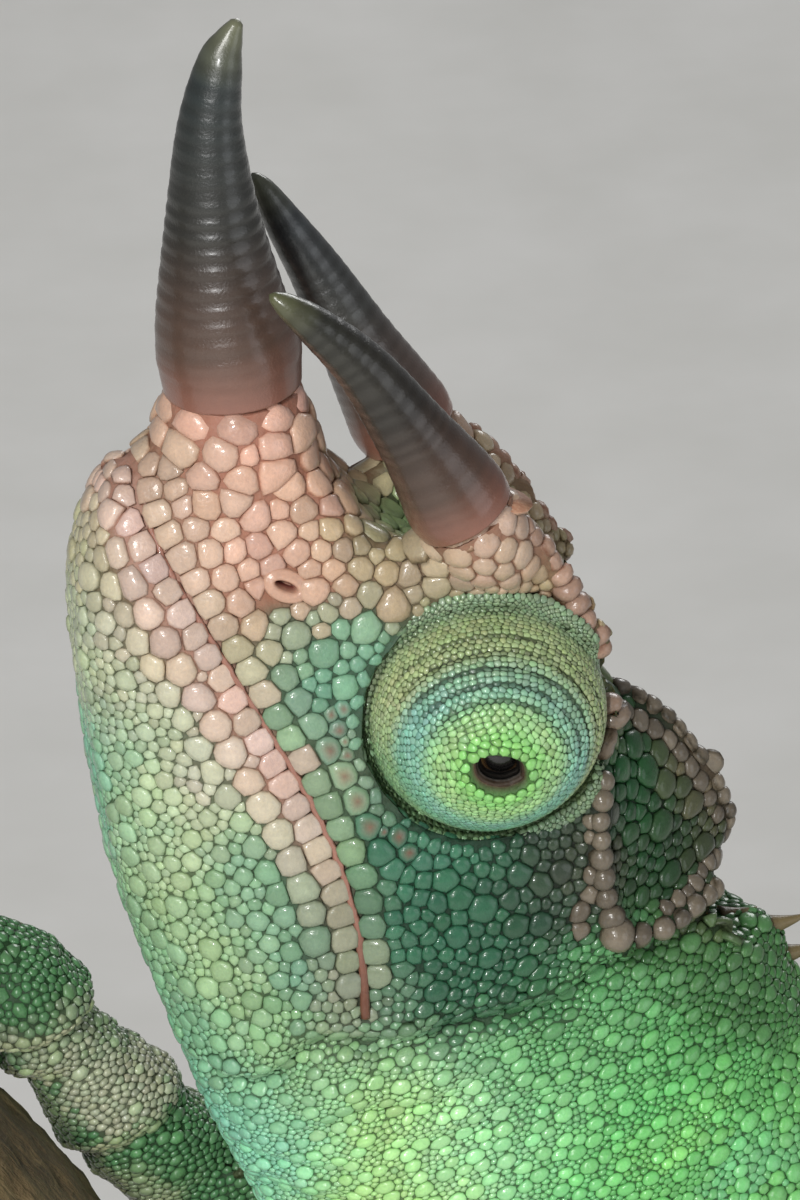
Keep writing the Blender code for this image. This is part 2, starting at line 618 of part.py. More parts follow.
def make_foot(word, limb):
    """A palm on the branch with two bundles of toes that close round it from both sides."""
    side, turn = limb["side"], limb["turn"]
    u = limb["foot"]
    reach = PERCH_RADIUS + GAP + PALM_RADIUS * 0.8
    middle = math.radians(turn)
    palm = ball("palm", perch_point(u, reach * math.sin(middle), reach * math.cos(middle)), PALM_RADIUS)
    pieces = []
    outward = math.copysign(1, turn)
    bundles = (("outer", outward, 5 - limb["inner"]), ("inner", -outward, limb["inner"]))
    for kind, way, count in bundles:
        for k in range(count):
            place = u + (k - (count - 1) / 2) * TOE_STEP * (1 if count == 2 else 0.86)
            last = turn + way * TOE_REACH[kind]
            toe, points = toe_arc(place, turn, last, TOE_RADIUS * (0.98 if count == 2 else 0.9))
            along_toe = points[-1] - points[-2]
            along_toe /= np.linalg.norm(along_toe)
            nail = points[-1] + along_toe * CLAW_LENGTH
            pieces += [toe, cone("claw", points[-1] - along_toe * 0.8, nail, 0.72, 6, 0.1)]
    combine(palm, pieces, "UNION")
    ankle = limb_tube("ankle", limb["lower"], side, GAP)
    combine(palm, [ankle, perch_tube("grip", GAP), trunk_core()], "DIFFERENCE")
    finish(palm, f"foot_{word}", "skin_body")


def make_limbs():
    for word, limb in LIMBS.items():
        side = limb["side"]
        upper = limb_tube("upper", limb["upper"], side)
        combine(upper, [trunk_core()], "DIFFERENCE")
        lower = limb_tube("lower", limb["lower"], side)
        combine(lower, [limb_tube("elbow", limb["upper"], side, GAP), trunk_core()], "DIFFERENCE")
        finish(upper, f"leg_{word}_upper", "skin_body")
        finish(lower, f"leg_{word}_lower", "skin_body")
        make_foot(word, limb)


def make_stand():
    finish(perch_tube("perch"), "perch", "bark")
    length, depth, thick = BASE_SIZE
    bpy.ops.mesh.primitive_cube_add(size=1, location=(0, 0, 0))
    base = bpy.context.object
    base.scale = (length * MM, depth * MM, thick * MM)
    base.location = (BASE_CENTRE_X * MM, 0, thick / 2 * MM)
    bpy.ops.object.transform_apply(location=False, rotation=False, scale=True)
    edge = base.modifiers.new("edge", "BEVEL")
    edge.width = 1.2 * MM
    edge.segments = 2
    edge.limit_method = "ANGLE"
    finish(base, "stand_base", "base_wood")
    tilt = math.radians(PERCH_TILT)
    for number, x in enumerate(ROD_PLACES, 1):
        u = (x - PERCH_START[0]) / math.cos(tilt)
        top = perch_point(u, 0, 0)
        foot = (x, 0, thick + GAP)
        rod = cone("rod", foot, top, ROD_RADIUS, 16, ROD_RADIUS)
        combine(rod, [perch_tube("branch", GAP)], "DIFFERENCE")
        finish(rod, f"stand_rod_{number}", "rod_steel")


make_head()
make_eyes()
make_horns()
make_trunk()
make_limbs()
make_stand()
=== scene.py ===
# A Jackson's chameleon on its branch: the looks. Lengths here are millimetres until a mesh is made.
import math
import bpy
import bmesh
import numpy as np
from mathutils import Matrix, Vector, kdtree
from mathutils.bvhtree import BVHTree


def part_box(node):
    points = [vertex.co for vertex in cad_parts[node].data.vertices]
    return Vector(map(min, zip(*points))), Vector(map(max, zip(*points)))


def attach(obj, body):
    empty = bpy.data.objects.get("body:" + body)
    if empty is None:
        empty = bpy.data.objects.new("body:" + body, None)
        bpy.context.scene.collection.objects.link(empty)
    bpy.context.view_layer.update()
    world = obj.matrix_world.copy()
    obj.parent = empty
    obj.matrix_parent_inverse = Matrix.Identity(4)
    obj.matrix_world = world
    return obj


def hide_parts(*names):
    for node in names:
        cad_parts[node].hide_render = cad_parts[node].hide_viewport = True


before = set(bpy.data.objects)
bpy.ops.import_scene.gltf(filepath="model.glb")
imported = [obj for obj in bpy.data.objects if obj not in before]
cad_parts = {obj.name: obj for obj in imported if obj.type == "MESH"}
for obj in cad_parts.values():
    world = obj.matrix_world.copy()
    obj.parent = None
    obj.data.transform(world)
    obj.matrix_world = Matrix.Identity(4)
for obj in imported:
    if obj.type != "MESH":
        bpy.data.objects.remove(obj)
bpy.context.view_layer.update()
mm = 0.001
tau = 2 * math.pi
bothSides = (("left", 1), ("right", -1))


# places

headFrame = {"pitch": 65.0, "height": 150.0, "back": -14.5}
perchFrame = {"tilt": 55.0, "start": (-22.75, -30.3), "radius": 8.0, "ends": (-46.0, 82.0)}


def headPoint(f, l, d):
    # f forward along the mouth, l to the animal's left, d to its back
    pitch = math.radians(headFrame["pitch"])
    x = -f * math.cos(pitch) + d * math.sin(pitch)
    z = f * math.sin(pitch) + d * math.cos(pitch) + headFrame["height"]
    return np.stack(np.broadcast_arrays(x, -np.asarray(l, float), z), axis=-1)


def headCoordinates(points):
    pitch = math.radians(headFrame["pitch"])
    x, z = points[..., 0], points[..., 2] - headFrame["height"]
    return np.stack([-x * math.cos(pitch) + z * math.sin(pitch), -points[..., 1],
                     x * math.sin(pitch) + z * math.cos(pitch)], axis=-1)


def perchPoint(u, l, v):
    # u down along the branch, l to the animal's left, v from the branch's middle to the animal
    tilt = math.radians(perchFrame["tilt"])
    x = perchFrame["start"][0] + u * math.cos(tilt) + v * math.sin(tilt)
    z = headFrame["height"] + perchFrame["start"][1] - u * math.sin(tilt) + v * math.cos(tilt)
    return np.stack(np.broadcast_arrays(x, -np.asarray(l, float), z), axis=-1)


def fromHead(places):
    # the same for rows of f, l, d
    return headPoint(*np.moveaxis(places, -1, 0))


def unit(v):
    return v / np.maximum(np.linalg.norm(v, axis=-1, keepdims=True), 1e-12)


def mix(first, second, share):
    return first * (1 - share) + second * share


def bump(x, middle, wide):
    # a smooth hill, 1 at its middle: exp(-((x - middle) / wide)^2)
    return np.exp(-((x - middle) / wide) ** 2)


def compass(count):
    # angles spread evenly round a circle
    return np.linspace(0, tau, count, endpoint=False)


def around(angle, east, north):
    # the unit circle on two axes: cos(angle) east + sin(angle) north
    return np.cos(angle)[..., None] * east + np.sin(angle)[..., None] * north


def curveThrough(knots, at):
    # cubic pieces whose slope at a knot is the slope between its neighbours; rows are t, values
    rows = np.array(knots, float)
    t, value = rows[:, 0], rows[:, 1:]
    slope = np.gradient(value, t, axis=0)
    at = np.clip(np.atleast_1d(np.asarray(at, float)), t[0], t[-1])
    i = np.clip(np.searchsorted(t, at, side="right") - 1, 0, len(t) - 2)
    step = (t[i + 1] - t[i])[:, None]
    x = (at - t[i])[:, None] / step
    first = value[i] * (1 + 2 * x) * (1 - x) ** 2 + step * slope[i] * x * (1 - x) ** 2
    return first + value[i + 1] * x ** 2 * (3 - 2 * x) + step * slope[i + 1] * x ** 2 * (x - 1)


def smoothThrough(rows, count):
    # places on the smooth curve through the rows, as many between each two
    return curveThrough([(k, *row) for k, row in enumerate(rows)], np.linspace(0, len(rows) - 1, count))


def runAlong(points):
    # how far along a line each of its points lies
    return np.concatenate([[0], np.cumsum(np.linalg.norm(np.diff(points, axis=0), axis=1))])


def readAt(at, run, table):
    # the columns of a table, read at these places along its run
    return np.stack([np.interp(at, run, column) for column in table.T], axis=1)


def spread(points, count):
    # places spread evenly along a smooth curve through the points
    fine = smoothThrough(points, 400)
    run = runAlong(fine[:, :3])
    return readAt(np.linspace(0, run[-1], count), run, fine)


def treeOf(points):
    tree = kdtree.KDTree(len(points))
    for k, place in enumerate(points):
        tree.insert(place, k)
    tree.balance()
    return tree


def softStep(low, high, x):
    t = np.clip((x - low) / (high - low), 0, 1)
    return t * t * (3 - 2 * t)


def mottle(points, size, seed):
    # a smooth random field, mostly -1.5 to 1.5: sine waves about size long in random directions
    draw = np.random.default_rng(seed)
    waves = unit(draw.normal(size=(18, 3))) * tau / size * draw.uniform(0.55, 1.6, (18, 1))
    return np.sin(points @ waves.T + draw.uniform(0, tau, 18)).sum(axis=1) / 3


def tone(red, green, blue):
    # a colour as the eye reads it, 0 to 255, made linear
    c = np.array([red, green, blue], float) / 255
    return np.where(c <= 0.04045, c / 12.92, ((c + 0.055) / 1.055) ** 2.4)


# meshes

def placed(name, data):
    made = bpy.data.objects.new(name, data)
    bpy.context.scene.collection.objects.link(made)
    return made


def paint(mesh, colours):
    tint = mesh.attributes.new("tint", "FLOAT_COLOR", "POINT")
    full = np.column_stack([colours, np.ones(len(colours))])
    tint.data.foreach_set("color", full.astype(np.float32).ravel())


def meshObject(name, vertices, faces, colours=None, crown=None, smooth=True):
    mesh = bpy.data.meshes.new(name)
    faces = np.asarray(faces)
    width = faces.shape[1]
    mesh.vertices.add(len(vertices))
    mesh.vertices.foreach_set("co", (np.asarray(vertices) * mm).astype(np.float32).ravel())
    mesh.loops.add(faces.size)
    mesh.loops.foreach_set("vertex_index", faces.astype(np.int32).ravel())
    mesh.polygons.add(len(faces))
    mesh.polygons.foreach_set("loop_start", np.arange(len(faces), dtype=np.int32) * width)
    mesh.update(calc_edges=True)
    mesh.validate()
    if colours is not None:
        paint(mesh, colours)
    if crown is not None:
        mesh.attributes.new("crown", "FLOAT", "POINT").data.foreach_set("value", crown.astype(np.float32))
    if smooth:
        mesh.shade_smooth()
    return placed(name, mesh)


def gridFaces(rows, columns, closed=True):
    # quads of a grid, closed round its columns if asked, as triangles
    i, j = np.meshgrid(np.arange(rows - 1), np.arange(columns if closed else columns - 1), indexing="ij")
    k = (j + 1) % columns
    below, above = i * columns, (i + 1) * columns
    quad = np.stack([below + j, below + k, above + k, above + j], axis=-1).reshape(-1, 4)
    return np.vstack([quad[:, [0, 1, 2]], quad[:, [0, 2, 3]]])


def capFaces(ring, pole, turned):
    # a fan from a pole to the points of a ring
    after = np.roll(ring, -1)
    pair = (after, ring) if turned else (ring, after)
    return np.column_stack([np.full(len(ring), pole), *pair])


def tubeFaces(rows, sides):
    # the grid of a tube and a fan at each end; the two poles are its last vertices
    count = rows * sides
    return np.vstack([gridFaces(rows, sides)[:, ::-1], capFaces(np.arange(sides), count, False),
                      capFaces(np.arange(count - sides, count), count + 1, True)])


def repeated(faces, count, each):
    # the faces of one small piece, again for each of its copies
    return (faces[None] + (np.arange(count) * each)[:, None, None]).reshape(-1, 3)


def tubeGrid(path, radii, sides, up=(0, 1, 0)):
    # rings of points round a path: its own direction, a fixed side-hint and their product carry the circle
    path = np.asarray(path, float)
    along = unit(np.gradient(path, axis=0))
    across = unit(np.cross(along, np.asarray(up, float)))
    other = np.cross(along, across)
    radii = np.broadcast_to(np.asarray(radii, float).reshape(len(path), -1), (len(path), sides))
    return path[:, None] + around(compass(sides), across[:, None], other[:, None]) * radii[..., None]


def closedTube(name, grid, ends, **extras):
    # a grid of rings with a pole at each end
    rows, sides = grid.shape[:2]
    count = rows * sides
    for key, value in extras.items():
        ring = value.reshape(rows, sides, -1)
        extras[key] = np.vstack([value.reshape(count, -1), ring[0].mean(axis=0), ring[-1].mean(axis=0)])
    if "crown" in extras:
        extras["crown"] = extras["crown"][:, 0]
    made = meshObject(name, np.vstack([grid.reshape(-1, 3), ends]), tubeFaces(rows, sides), **extras)
    faceOutwards(made)
    return made


def faceOutwards(made):
    work = bmesh.new()
    work.from_mesh(made.data)
    if work.calc_volume(signed=True) < 0:
        bmesh.ops.reverse_faces(work, faces=work.faces[:])
    work.to_mesh(made.data)
    work.free()


def readMesh(mesh):
    points = np.empty(len(mesh.vertices) * 3, np.float32)
    mesh.vertices.foreach_get("co", points)
    corners = np.empty(len(mesh.loops), np.int32)
    mesh.loops.foreach_get("vertex_index", corners)
    return points.reshape(-1, 3).astype(float) / mm, corners


# materials

class Sock:
    # a node socket that takes part in Python sums

    def __init__(self, tree, socket):
        self.tree = tree
        self.socket = socket

    def node(self, kind, settings=None, **values):
        made = self.tree.nodes.new(kind)
        for key, value in (settings or {}).items():
            if key == "stops":
                ramp = made.color_ramp
                while len(ramp.elements) < len(value):
                    ramp.elements.new(1.0)
                for element, (place, colour) in zip(ramp.elements, value):
                    element.position = place
                    element.color = (*colour, 1)
            else:
                setattr(made, key, value)
        for key, value in values.items():
            slot = made.inputs[int(key[1:]) if key[1:].isdigit() else key.replace("_", " ")]
            if isinstance(value, Sock):
                self.tree.links.new(value.socket, slot)
            elif np.ndim(value) and len(slot.default_value) == 4 and len(value) == 3:
                slot.default_value = (*value, 1)
            else:
                slot.default_value = value
        return made

    def maths(self, operation, other=0.0, swap=False, clamp=False):
        first, second = (other, self) if swap else (self, other)
        made = self.node("ShaderNodeMath", {"operation": operation, "use_clamp": clamp}, i0=first, i1=second)
        return Sock(self.tree, made.outputs[0])

    def __add__(self, other): return self.maths("ADD", other)
    def __radd__(self, other): return self.maths("ADD", other, True)
    def __sub__(self, other): return self.maths("SUBTRACT", other)
    def __rsub__(self, other): return self.maths("SUBTRACT", other, True)
    def __mul__(self, other): return self.maths("MULTIPLY", other)
    def __rmul__(self, other): return self.maths("MULTIPLY", other, True)

    def held(self):
        return self.maths("ADD", 0.0, clamp=True)

    def blend(self, factor, colour, kind="MIX"):
        settings = {"data_type": "RGBA", "blend_type": kind}
        made = self.node("ShaderNodeMix", settings, i0=factor, i6=self, i7=colour)
        return Sock(self.tree, made.outputs[2])


class Finish:
    # one material: its tree, its shader and the sources that its pattern reads

    def __init__(self, name, **constants):
        self.material = bpy.data.materials.new(name)
        self.material.use_nodes = True
        self.tree = self.material.node_tree
        self.shader = self.tree.nodes["Principled BSDF"]
        self.start = Sock(self.tree, None)
        for key, value in constants.items():
            self.shader.inputs[key.replace("_", " ")].default_value = value

    def output(self, kind, which, settings=None, **values):
        return Sock(self.tree, self.start.node(kind, settings, **values).outputs[which])

    def attribute(self, name, which="Fac"):
        return self.output("ShaderNodeAttribute", which, {"attribute_name": name})

    def place(self, scale=(1, 1, 1), turn=0.0):
        # turn is how far the pattern's long axis leans about Y before it is scaled
        where = self.output("ShaderNodeTexCoord", "Object")
        if turn:
            where = self.output("ShaderNodeMapping", "Vector", {"vector_type": "TEXTURE"}, Vector=where,
                                Rotation=(0, turn, 0))
        return self.output("ShaderNodeMapping", "Vector", Vector=where, Scale=scale)

    def noise(self, size, detail=3.0, stretch=(1, 1, 1), roughness=0.55, turn=0.0):
        # size is the pattern's grain in millimetres
        scale = tuple(1 / (size * mm) * s for s in stretch)
        return self.output("ShaderNodeTexNoise", "Fac", Vector=self.place(scale, turn), Scale=1.0,
                           Detail=detail, Roughness=roughness)

    def ramp(self, factor, stops):
        return self.output("ShaderNodeValToRGB", "Color", {"stops": stops}, Fac=factor)

    def wear(self, colour=None, roughness=None, height=None, depth=0.05, coat=None):
        pairs = [("Base Color", colour), ("Roughness", roughness), ("Coat Weight", coat)]
        for key, value in pairs:
            if value is not None:
                self.tree.links.new(value.socket, self.shader.inputs[key])
        if height is not None:
            bump = self.output("ShaderNodeBump", "Normal", Height=height, Strength=1.0, Distance=depth * mm)
            self.tree.links.new(bump.socket, self.shader.inputs["Normal"])
        return self.material


def seamTintAndShade(own, tint, cool, warm):
    # the tint darkened by a cool shade, or a warm one where the tint is pink: the seams' own colour, with painted
    # shade for the gaps between the scales
    parts = own.start.node("ShaderNodeSeparateColor", i0=tint)
    pink = ((Sock(own.tree, parts.outputs[0]) - Sock(own.tree, parts.outputs[1])) * 7.0).held()
    shade = own.output("ShaderNodeMix", 2, {"data_type": "RGBA"}, i0=pink, i6=tone(*cool), i7=tone(*warm))
    return tint.blend(1.0, shade, "MULTIPLY")


def scaleFinish():
    # the coat: each scale keeps its own tint, paler at its crown and dark in the seam round it
    own = Finish("scaleSkin", IOR=1.36, Coat_Roughness=0.1, Coat_IOR=1.45, Subsurface_Weight=0.08,
                 Subsurface_Scale=0.0012)
    own.shader.inputs["Subsurface Radius"].default_value = (1.0, 0.7, 0.5)
    crown = own.attribute("crown")
    tint = own.attribute("tint", "Color")
    specks = own.noise(0.16, 3.0)
    clouds = own.noise(0.9, 2.0)
    seam = seamTintAndShade(own, tint, (92, 98, 74), (214, 178, 162))
    # the seam's colour, partly real and partly painted shade, darkens each scale round its rim
    colour = seam.blend((crown * 3.2 - 0.1).held(), tint)
    colour = colour.blend((specks * 0.9 - 0.3).held(), tint.blend(1.0, (1.5, 1.45, 1.3), "MULTIPLY"))
    colour = colour.blend((clouds - 0.52).held() * 1.1, tint.blend(1.0, (0.62, 0.6, 0.5), "MULTIPLY"))
    rough = 0.4 - crown * 0.16 + specks * 0.14
    return own.wear(colour, rough, specks + clouds * 0.6, 0.035, coat=crown * 0.75)


def skinFinish():
    # the bare skin between the scales, darkened: partly its own colour and partly painted shade
    own = Finish("bareSkin", IOR=1.42, Subsurface_Weight=0.05, Subsurface_Scale=0.001)
    tint = own.attribute("tint", "Color")
    grain = own.noise(0.35, 3.0)
    # painted shade: the skin turns to the darker seam colour
    dark = seamTintAndShade(own, tint, (88, 96, 70), (196, 158, 142))
    return own.wear(dark.blend(grain * 0.4, tint), 0.5 + grain * 0.2, grain, 0.08)


def hornFinish():
    # grooved horn: warm and brownish at the root, blue-grey above, straw at the tip
    own = Finish("hornSheath", IOR=1.54, Coat_Roughness=0.18)
    tint = own.attribute("tint", "Color")
    crown = own.attribute("crown")
    streaksAndSheen = own.noise(0.5, 4.0)
    fine = own.noise(0.12, 3.0)
    # painted shade: the grooves between the rings darkened
    colour = tint.blend((1 - crown) * 0.45, tint.blend(1.0, (0.4, 0.36, 0.32), "MULTIPLY"))
    # painted highlights: lighter streaks from the noise
    colour = colour.blend((streaksAndSheen - 0.45).held() * 0.5, tint.blend(1.0, (1.5, 1.4, 1.25), "MULTIPLY"))
    rough = 0.32 + fine * 0.16 - crown * 0.06
    return own.wear(colour, rough, streaksAndSheen * 0.4 + fine * 0.8, 0.025, coat=0.22 + crown * 0.36)


def clawFinish():
    own = Finish("claw", IOR=1.54)
    crown = own.attribute("crown")
    grain = own.noise(0.2, 3.0)
    colour = own.ramp(crown, [(0.0, tone(120, 116, 92)), (0.5, tone(84, 78, 62)), (1.0, tone(46, 42, 34))])
    return own.wear(colour.blend(grain * 0.3, tone(140, 134, 110)), 0.3 + grain * 0.2, grain, 0.02)


def eyeFinish():
    # a black pupil in a ring of brown and gold, under a wet front; crown is 1 at the pupil's middle
    own = Finish("eye", Coat_Weight=1.0, Coat_Roughness=0.02, IOR=1.4)
    crown = own.attribute("crown")
    fleck = own.noise(0.12, 3.0)
    colour = own.ramp(crown, [(0.0, tone(60, 52, 42)), (0.74, tone(96, 84, 66)), (0.82, tone(150, 122, 70)),
                              (0.88, tone(70, 50, 30)), (0.9, tone(8, 7, 6))])
    return own.wear(colour.blend(fleck * 0.25, (0.01, 0.01, 0.01)), 0.22 + fleck * 0.1)


def barkFinish():
    own = Finish("bark", IOR=1.45)
    turn = math.radians(perchFrame["tilt"])
    broad = own.noise(12.0, 4.0, (0.6, 1, 1), turn=turn)
    grain = own.noise(2.2, 5.0, (0.16, 1.5, 1.5), 0.62, turn)
    cracks = own.noise(1.1, 4.0, (0.1, 1.2, 1.2), 0.6, turn)
    fine = own.noise(0.35, 4.0)
    crown = own.attribute("crown")
    colour = own.ramp(grain, [(0.28, tone(46, 36, 22)), (0.5, tone(82, 67, 42)), (0.72, tone(116, 99, 68))])
    colour = colour.blend((0.44 - cracks).held() * 5.0, tone(28, 21, 13))
    colour = colour.blend((broad - 0.5).held() * 2.2, tone(78, 80, 52))
    colour = colour.blend((fine - 0.55).held() * 1.2, tone(132, 118, 88))
    colour = colour.blend((1 - crown).held() * 0.7, tone(30, 24, 16))
    return own.wear(colour, 0.72 + fine * 0.2, grain + cracks * 0.8 + fine * 0.3, 0.5)


def sawnFinish():
    # the cut ends: growth rings round the heart
    own = Finish("sawnWood", IOR=1.45)
    ring = own.attribute("crown")
    wave = (ring * 58.0).maths("SINE")
    grain = own.noise(0.5, 4.0)
    colour = own.ramp(wave * 0.35 + 0.5, [(0.1, tone(150, 118, 76)), (0.9, tone(200, 170, 122))])
    return own.wear(colour.blend(grain * 0.35, tone(120, 92, 58)), 0.62 + grain * 0.2, grain, 0.12)


def standFinish():
    # dark polished wood, its grain along the base
    own = Finish("standWood", IOR=1.5, Coat_Roughness=0.12)
    bands = own.noise(7.0, 3.0, (0.06, 0.8, 3.2))
    pores = own.noise(0.5, 4.0, (0.08, 0.9, 2.4))
    rings = (bands * 20.0).maths("SINE") * 0.5 + 0.5
    colour = own.ramp(rings * 0.6 + pores * 0.4, [(0.15, tone(48, 27, 17)), (0.55, tone(84, 50, 31)),
                                                  (0.9, tone(118, 76, 48))])
    return own.wear(colour, 0.36 + pores * 0.2, pores, 0.06, coat=0.35 - pores * 0.15)


def steelFinish():
    own = Finish("brushedSteel", Metallic=1.0)
    brush = own.noise(0.6, 5.0, (3, 3, 0.06))
    wide = own.noise(6.0, 2.0)
    colour = own.ramp(brush, [(0.3, (0.42, 0.42, 0.43)), (0.7, (0.64, 0.64, 0.65))])
    return own.wear(colour, 0.24 + brush * 0.14 + wide * 0.06, brush, 0.015)


def floorFinish():
    own = Finish("paleFloor", IOR=1.4)
    grain = own.noise(14.0, 3.0)
    colour = own.ramp(grain, [(0.3, tone(214, 213, 208)), (0.7, tone(222, 221, 217))])
    return own.wear(colour, 0.7 + grain * 0.1)


finishes = {"scale": scaleFinish(), "skin": skinFinish(), "horn": hornFinish(), "claw": clawFinish(),
            "eye": eyeFinish(), "bark": barkFinish(), "sawn": sawnFinish(), "wood": standFinish(),
            "steel": steelFinish(), "floor": floorFinish()}


def settle(piece, finish, nodes=()):
    # its material, its body and the solids that it stands for
    piece.data.materials.clear()
    piece.data.materials.append(finishes[finish])
    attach(piece, "root")
    if nodes:
        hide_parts(*nodes)
    return piece


# markings and some painted shade, by place on the head and neck: f, l, d, reach, colour, scale radius, share of
# large scales

headMarksAndShade = {
    "lipFront": ((16.5, 2.0, -9.0), 2.4, (180, 156, 138), 0.42, 0.0),
    "snout": ((15.5, 3.2, -5.5), 3.4, (198, 164, 146), 0.55, 0.22),
    "snoutTop": ((12.0, 1.5, -1.0), 3.2, (188, 152, 132), 0.5, 0.2),
    "sleeve": ((17.4, 3.0, -3.6), 2.6, (190, 150, 134), 0.7, 0.2),
    "browSleeve": ((8.6, 5.6, 3.2), 2.4, (180, 154, 134), 0.5, 0.2),
    "browEdge": ((2.5, 4.4, 5.6), 2.2, (172, 150, 122), 0.42, 0.15),
    "betweenHorns": ((8.5, 1.0, 0.5), 2.6, (104, 134, 92), 0.42, 0.15),
    "crownPlates": ((1.0, 0.0, 5.0), 3.4, (112, 124, 86), 0.45, 0.25),
    "nostril": ((9.8, 4.3, -4.8), 1.8, (188, 154, 134), 0.36, 0.1),
    "beforeEye": ((7.0, 5.1, -5.2), 1.6, (108, 152, 124), 0.32, 0.15),
    "underEyeFront": ((4.6, 5.6, -5.8), 1.8, (104, 146, 124), 0.34, 0.2),
    "underEye": ((1.5, 6.0, -6.8), 1.8, (134, 152, 128), 0.42, 0.25),
    "cheek": ((-2.2, 6.7, -6.4), 2.6, (62, 110, 88), 0.35, 0.16),
    "cheekBack": ((-6.2, 7.0, -6.4), 3.0, (50, 99, 75), 0.35, 0.2),
    # the temple's and casque's dark greens: partly the skin's own colour and partly painted shade where the light
    # falls off
    "temple": ((-10.4, 7.2, -5.0), 3.0, (36, 78, 56), 0.31, 0.2),
    "templeTop": ((-8.0, 6.4, -1.2), 2.0, (46, 62, 48), 0.28, 0.12),
    "sideCrest": ((-8.8, 6.2, 1.4), 1.5, (70, 66, 54), 0.28, 0.12),
    "casqueSide": ((-7.6, 2.8, 4.6), 2.6, (26, 72, 38), 0.38, 0.3),
    "casqueBack": ((-12.0, 2.6, 4.6), 2.4, (30, 56, 32), 0.38, 0.32),
    "casqueRim": ((-14.6, 3.6, 4.6), 1.7, (84, 74, 54), 0.34, 0.25),
    "casqueRidge": ((-10.0, 0.0, 7.2), 2.2, (108, 92, 72), 0.34, 0.25),
    "jawFront": ((15.6, 2.4, -10.8), 2.2, (168, 172, 140), 0.28, 0.1),
    "jawSide": ((10.8, 4.2, -11.4), 2.0, (184, 172, 154), 0.32, 0.25),
    "jawMiddle": ((4.0, 5.4, -11.8), 2.0, (176, 174, 154), 0.32, 0.25),
    "jawBack": ((-2.2, 6.4, -12.4), 2.2, (116, 154, 126), 0.28, 0.25),
    "jawTeal": ((-6.0, 7.0, -11.6), 2.0, (96, 138, 116), 0.3, 0.22),
    "gularFront": ((9.0, 2.8, -14.2), 2.8, (164, 174, 146), 0.22, 0.1),
    "gularEdge": ((4.0, 0.6, -17.0), 3.0, (112, 170, 144), 0.19, 0.1),
    "gularMiddle": ((2.0, 3.8, -15.4), 2.8, (164, 184, 144), 0.19, 0.26),
    "gularBack": ((-4.0, 4.8, -16.4), 3.0, (148, 176, 130), 0.185, 0.3),
    "gularBackEdge": ((-6.0, 1.0, -19.0), 3.4, (110, 164, 132), 0.22, 0.08),
    "throatFold": ((-9.6, 6.2, -15.0), 2.6, (128, 164, 118), 0.165, 0.3),
    "chinCorner": ((-9.4, 7.4, -10.6), 1.8, (96, 124, 100), 0.25, 0.18),
    "neckBelow": ((-15.0, 5.6, -17.4), 3.6, (123, 188, 162), 0.165, 0.24),
    "neckLime": ((-17.0, 7.4, -14.0), 3.6, (162, 198, 108), 0.165, 0.3),
    "neckMiddle": ((-18.0, 8.2, -9.6), 3.8, (149, 202, 155), 0.165, 0.28),
    "nape": ((-16.0, 7.6, -3.6), 3.2, (88, 144, 92), 0.175, 0.2),
    "neckSide": ((-21.0, 8.2, -4.0), 4.4, (92, 172, 96), 0.17, 0.26),
    "neckTop": ((-17.0, 4.6, 3.4), 3.0, (58, 102, 56), 0.26, 0.15),
}
bodyMarksAndLight = {
    "back": (84, 134, 76), "flank": (100, 166, 94), "lime": (158, 204, 104), "mint": (108, 176, 134),
    "belly": (186, 206, 146), "tail": (88, 148, 92), "tailBand": (138, 186, 128),
    # the limbs' underside colour: partly their own pale tone and partly painted light
    "limb": (72, 116, 76), "limbPale": (172, 172, 150), "limbUnderLit": (180, 180, 146), "foot": (132, 144, 112),
}
# scale radius and share of large scales on the body, and between which f it takes over from the neck
bodyScales = {"neck": (0.23, 0.3), "torso": (0.4, 0.26), "tail": (0.35, 0.08), "limb": (0.21, 0.06),
              "foot": (0.2, 0.03)}
bodyFrom = {"colour": (-20.0, -27.0), "size": (-20.0, -48.0)}
eyeRim = {"reach": 6.2, "wide": 0.5, "size": 0.23}


def markingsAndPaintedLight(points, normals, group):
    # colour, scale radius and share of large scales at each point: the marks are mixed by nearness,
    # exp(-(distance / reach)^2), and the body's own greens take over behind the neck
    here = headCoordinates(points)
    here[:, 1] = np.abs(here[:, 1])
    f, side, d = here.T
    weight = np.zeros(len(points))
    colour = np.zeros((len(points), 3))
    radius = np.zeros(len(points))
    large = np.zeros(len(points))
    warp = np.stack([mottle(points, 5.0, seed) for seed in (31, 32, 33)], axis=1) * 0.45
    for place, reach, shade, size, share in headMarksAndShade.values():
        near = np.exp(-(((here + warp - place) / reach) ** 2).sum(axis=1)) + 1e-12
        weight += near
        colour += near[:, None] * tone(*shade)
        radius += near * size
        large += near * share
    colour /= weight[:, None]
    radius /= weight
    large /= weight
    greens = bodyColour(points, normals, group)
    names = ("neck", "neck", "torso", "tail", "limb", "limb", "foot")
    sizes = np.array([bodyScales[name] for name in names])[group]
    body = np.where(group >= 3, 1.0, softStep(*bodyFrom["colour"], f))
    colour = mix(colour, greens, body[:, None])
    grown = sizes[:, 0] * np.where(group <= 2, 0.5 + 0.5 * softStep(*bodyFrom["size"], f), 1.0)
    radius = mix(radius, grown, body)
    large = mix(large, sizes[:, 1], body)
    rim = bump(np.hypot(f, d), eyeRim["reach"], eyeRim["wide"]) * (side > 3.0)
    radius = mix(radius, eyeRim["size"], rim)
    large = large * (1 - rim)
    return mix(colour, lipColour(here), lipBand(here)[:, None]), radius, large


